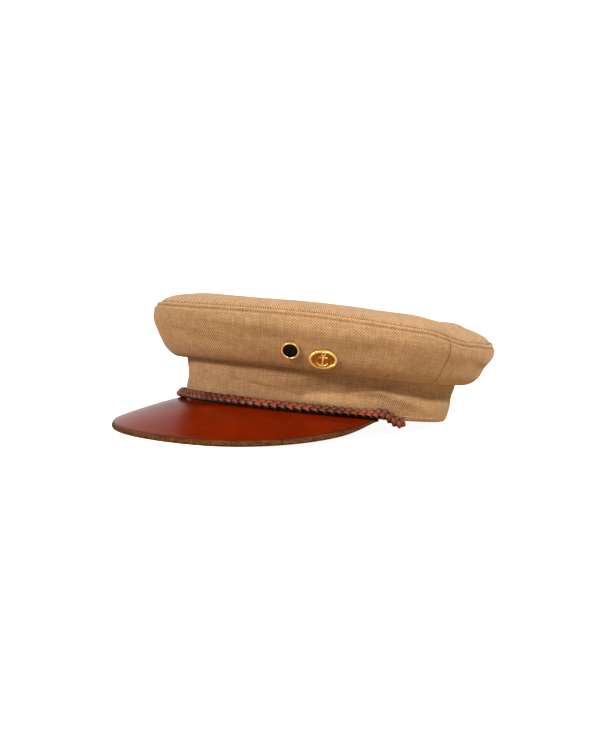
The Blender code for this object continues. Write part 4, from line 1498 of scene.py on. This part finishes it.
def make_camera():
    """Camera at the photograph's angle to the hat, with the photograph's framing."""
    back = sight(CAMERA_AROUND, CAMERA_ABOVE)
    right = sight(CAMERA_AROUND + 90.0, 0.0)
    up = back.cross(right)
    roll = math.radians(CAMERA_ROLL)
    across = right * math.cos(roll) + up * math.sin(roll)
    upward = up * math.cos(roll) - right * math.sin(roll)
    data = bpy.data.cameras.new("camera")
    data.lens = CAMERA_LENS
    data.sensor_width = 36.0
    data.shift_x = SHIFT_RIGHT
    data.shift_y = SHIFT_UP
    data.clip_end = 20.0
    camera = add_object("camera", data)
    camera.matrix_world = REST @ turned_to(across, upward, back, back * CAMERA_DISTANCE)
    bpy.context.scene.camera = camera


def main():
    """Dress the hat."""
    canvas = tan_canvas()
    leather = build_leather_group()
    bevel = two_shades(
        "burnished bevel", pored(leather, 2400.0), (0.35, 0.65), (0.040, 0.016, 0.006), (0.120, 0.058, 0.026),
        (0.5, 0.7), (0.0002, 0.8), Specular_IOR_Level=0.1,
    )
    raw = two_shades(
        "raw leather", fibrous(leather), (0.42, 0.64), (0.032, 0.009, 0.002), (0.270, 0.092, 0.020),
        relief=(0.0006, 1.0), Roughness=0.9, Specular_IOR_Level=0.2,
    )
    # the last colour is the painted shade between and under the laces
    lace = two_shades(
        "lace leather", pored(leather, 2600.0), (0.35, 0.65), (0.095, 0.019, 0.006), (0.240, 0.058, 0.019),
        (0.38, 0.55), (0.00015, 0.7), (0.010, 0.003, 0.002),
        Specular_IOR_Level=0.35, Coat_Weight=0.05, Coat_Roughness=0.35,
    )
    # near-black strip that stands in for the shade under the braid
    shade_strip = two_shades(
        "dark strip, painted shade under the braid", pored(leather, 2400.0), None, (0.006, 0.005, 0.002), (0.090, 0.066, 0.022),
        relief=(0.0002, 0.8), Roughness=0.8, Specular_IOR_Level=0.1,
    )
    enamel = two_shades(
        "black enamel", speckled(700.0), None, (0.004, 0.003, 0.003), (0.011, 0.008, 0.008),
        (0.22, 0.34), Specular_IOR_Level=0.12,
    )
    steel = two_shades(
        "bright steel", speckled(1500.0), None, (0.50, 0.48, 0.45), (0.68, 0.66, 0.62),
        (0.28, 0.42), (0.00003, 0.4), Metallic=1.0,
    )
    gold = gold_metal("gold", (0.860, 0.580, 0.190), (1.000, 0.790, 0.360), 0.27)
    old_gold = gold_metal("old gold", (0.240, 0.105, 0.022), (0.480, 0.240, 0.065), 0.50)

    make_side_panel("crown_side_front", -SIDE_SEAM_ANGLE, SIDE_SEAM_ANGLE, canvas)
    make_side_panel("crown_side_back", SIDE_SEAM_ANGLE, 360.0 - SIDE_SEAM_ANGLE, canvas)
    make_top(canvas)
    make_band(canvas)
    make_visor(visor_top_leather(leather), bevel, raw)
    make_braid(lace, shade_strip)
    template = stitch_template()
    make_welt_stitches(template, thread("tan thread", (0.52, 0.30, 0.14), (0.26, 0.13, 0.05)))
    make_yellow_thread(template, thread("yellow thread", (0.78, 0.52, 0.17), (0.45, 0.24, 0.05)))
    make_pin(gold, enamel)
    make_badge(gold, old_gold)
    for name in ("pin_clutch", "badge_clutch"):
        clutch = frame["nodes"][name]
        clutch.data.materials.clear()
        clutch.data.materials.append(steel)

    make_stage()
    make_light()
    make_camera()


main()
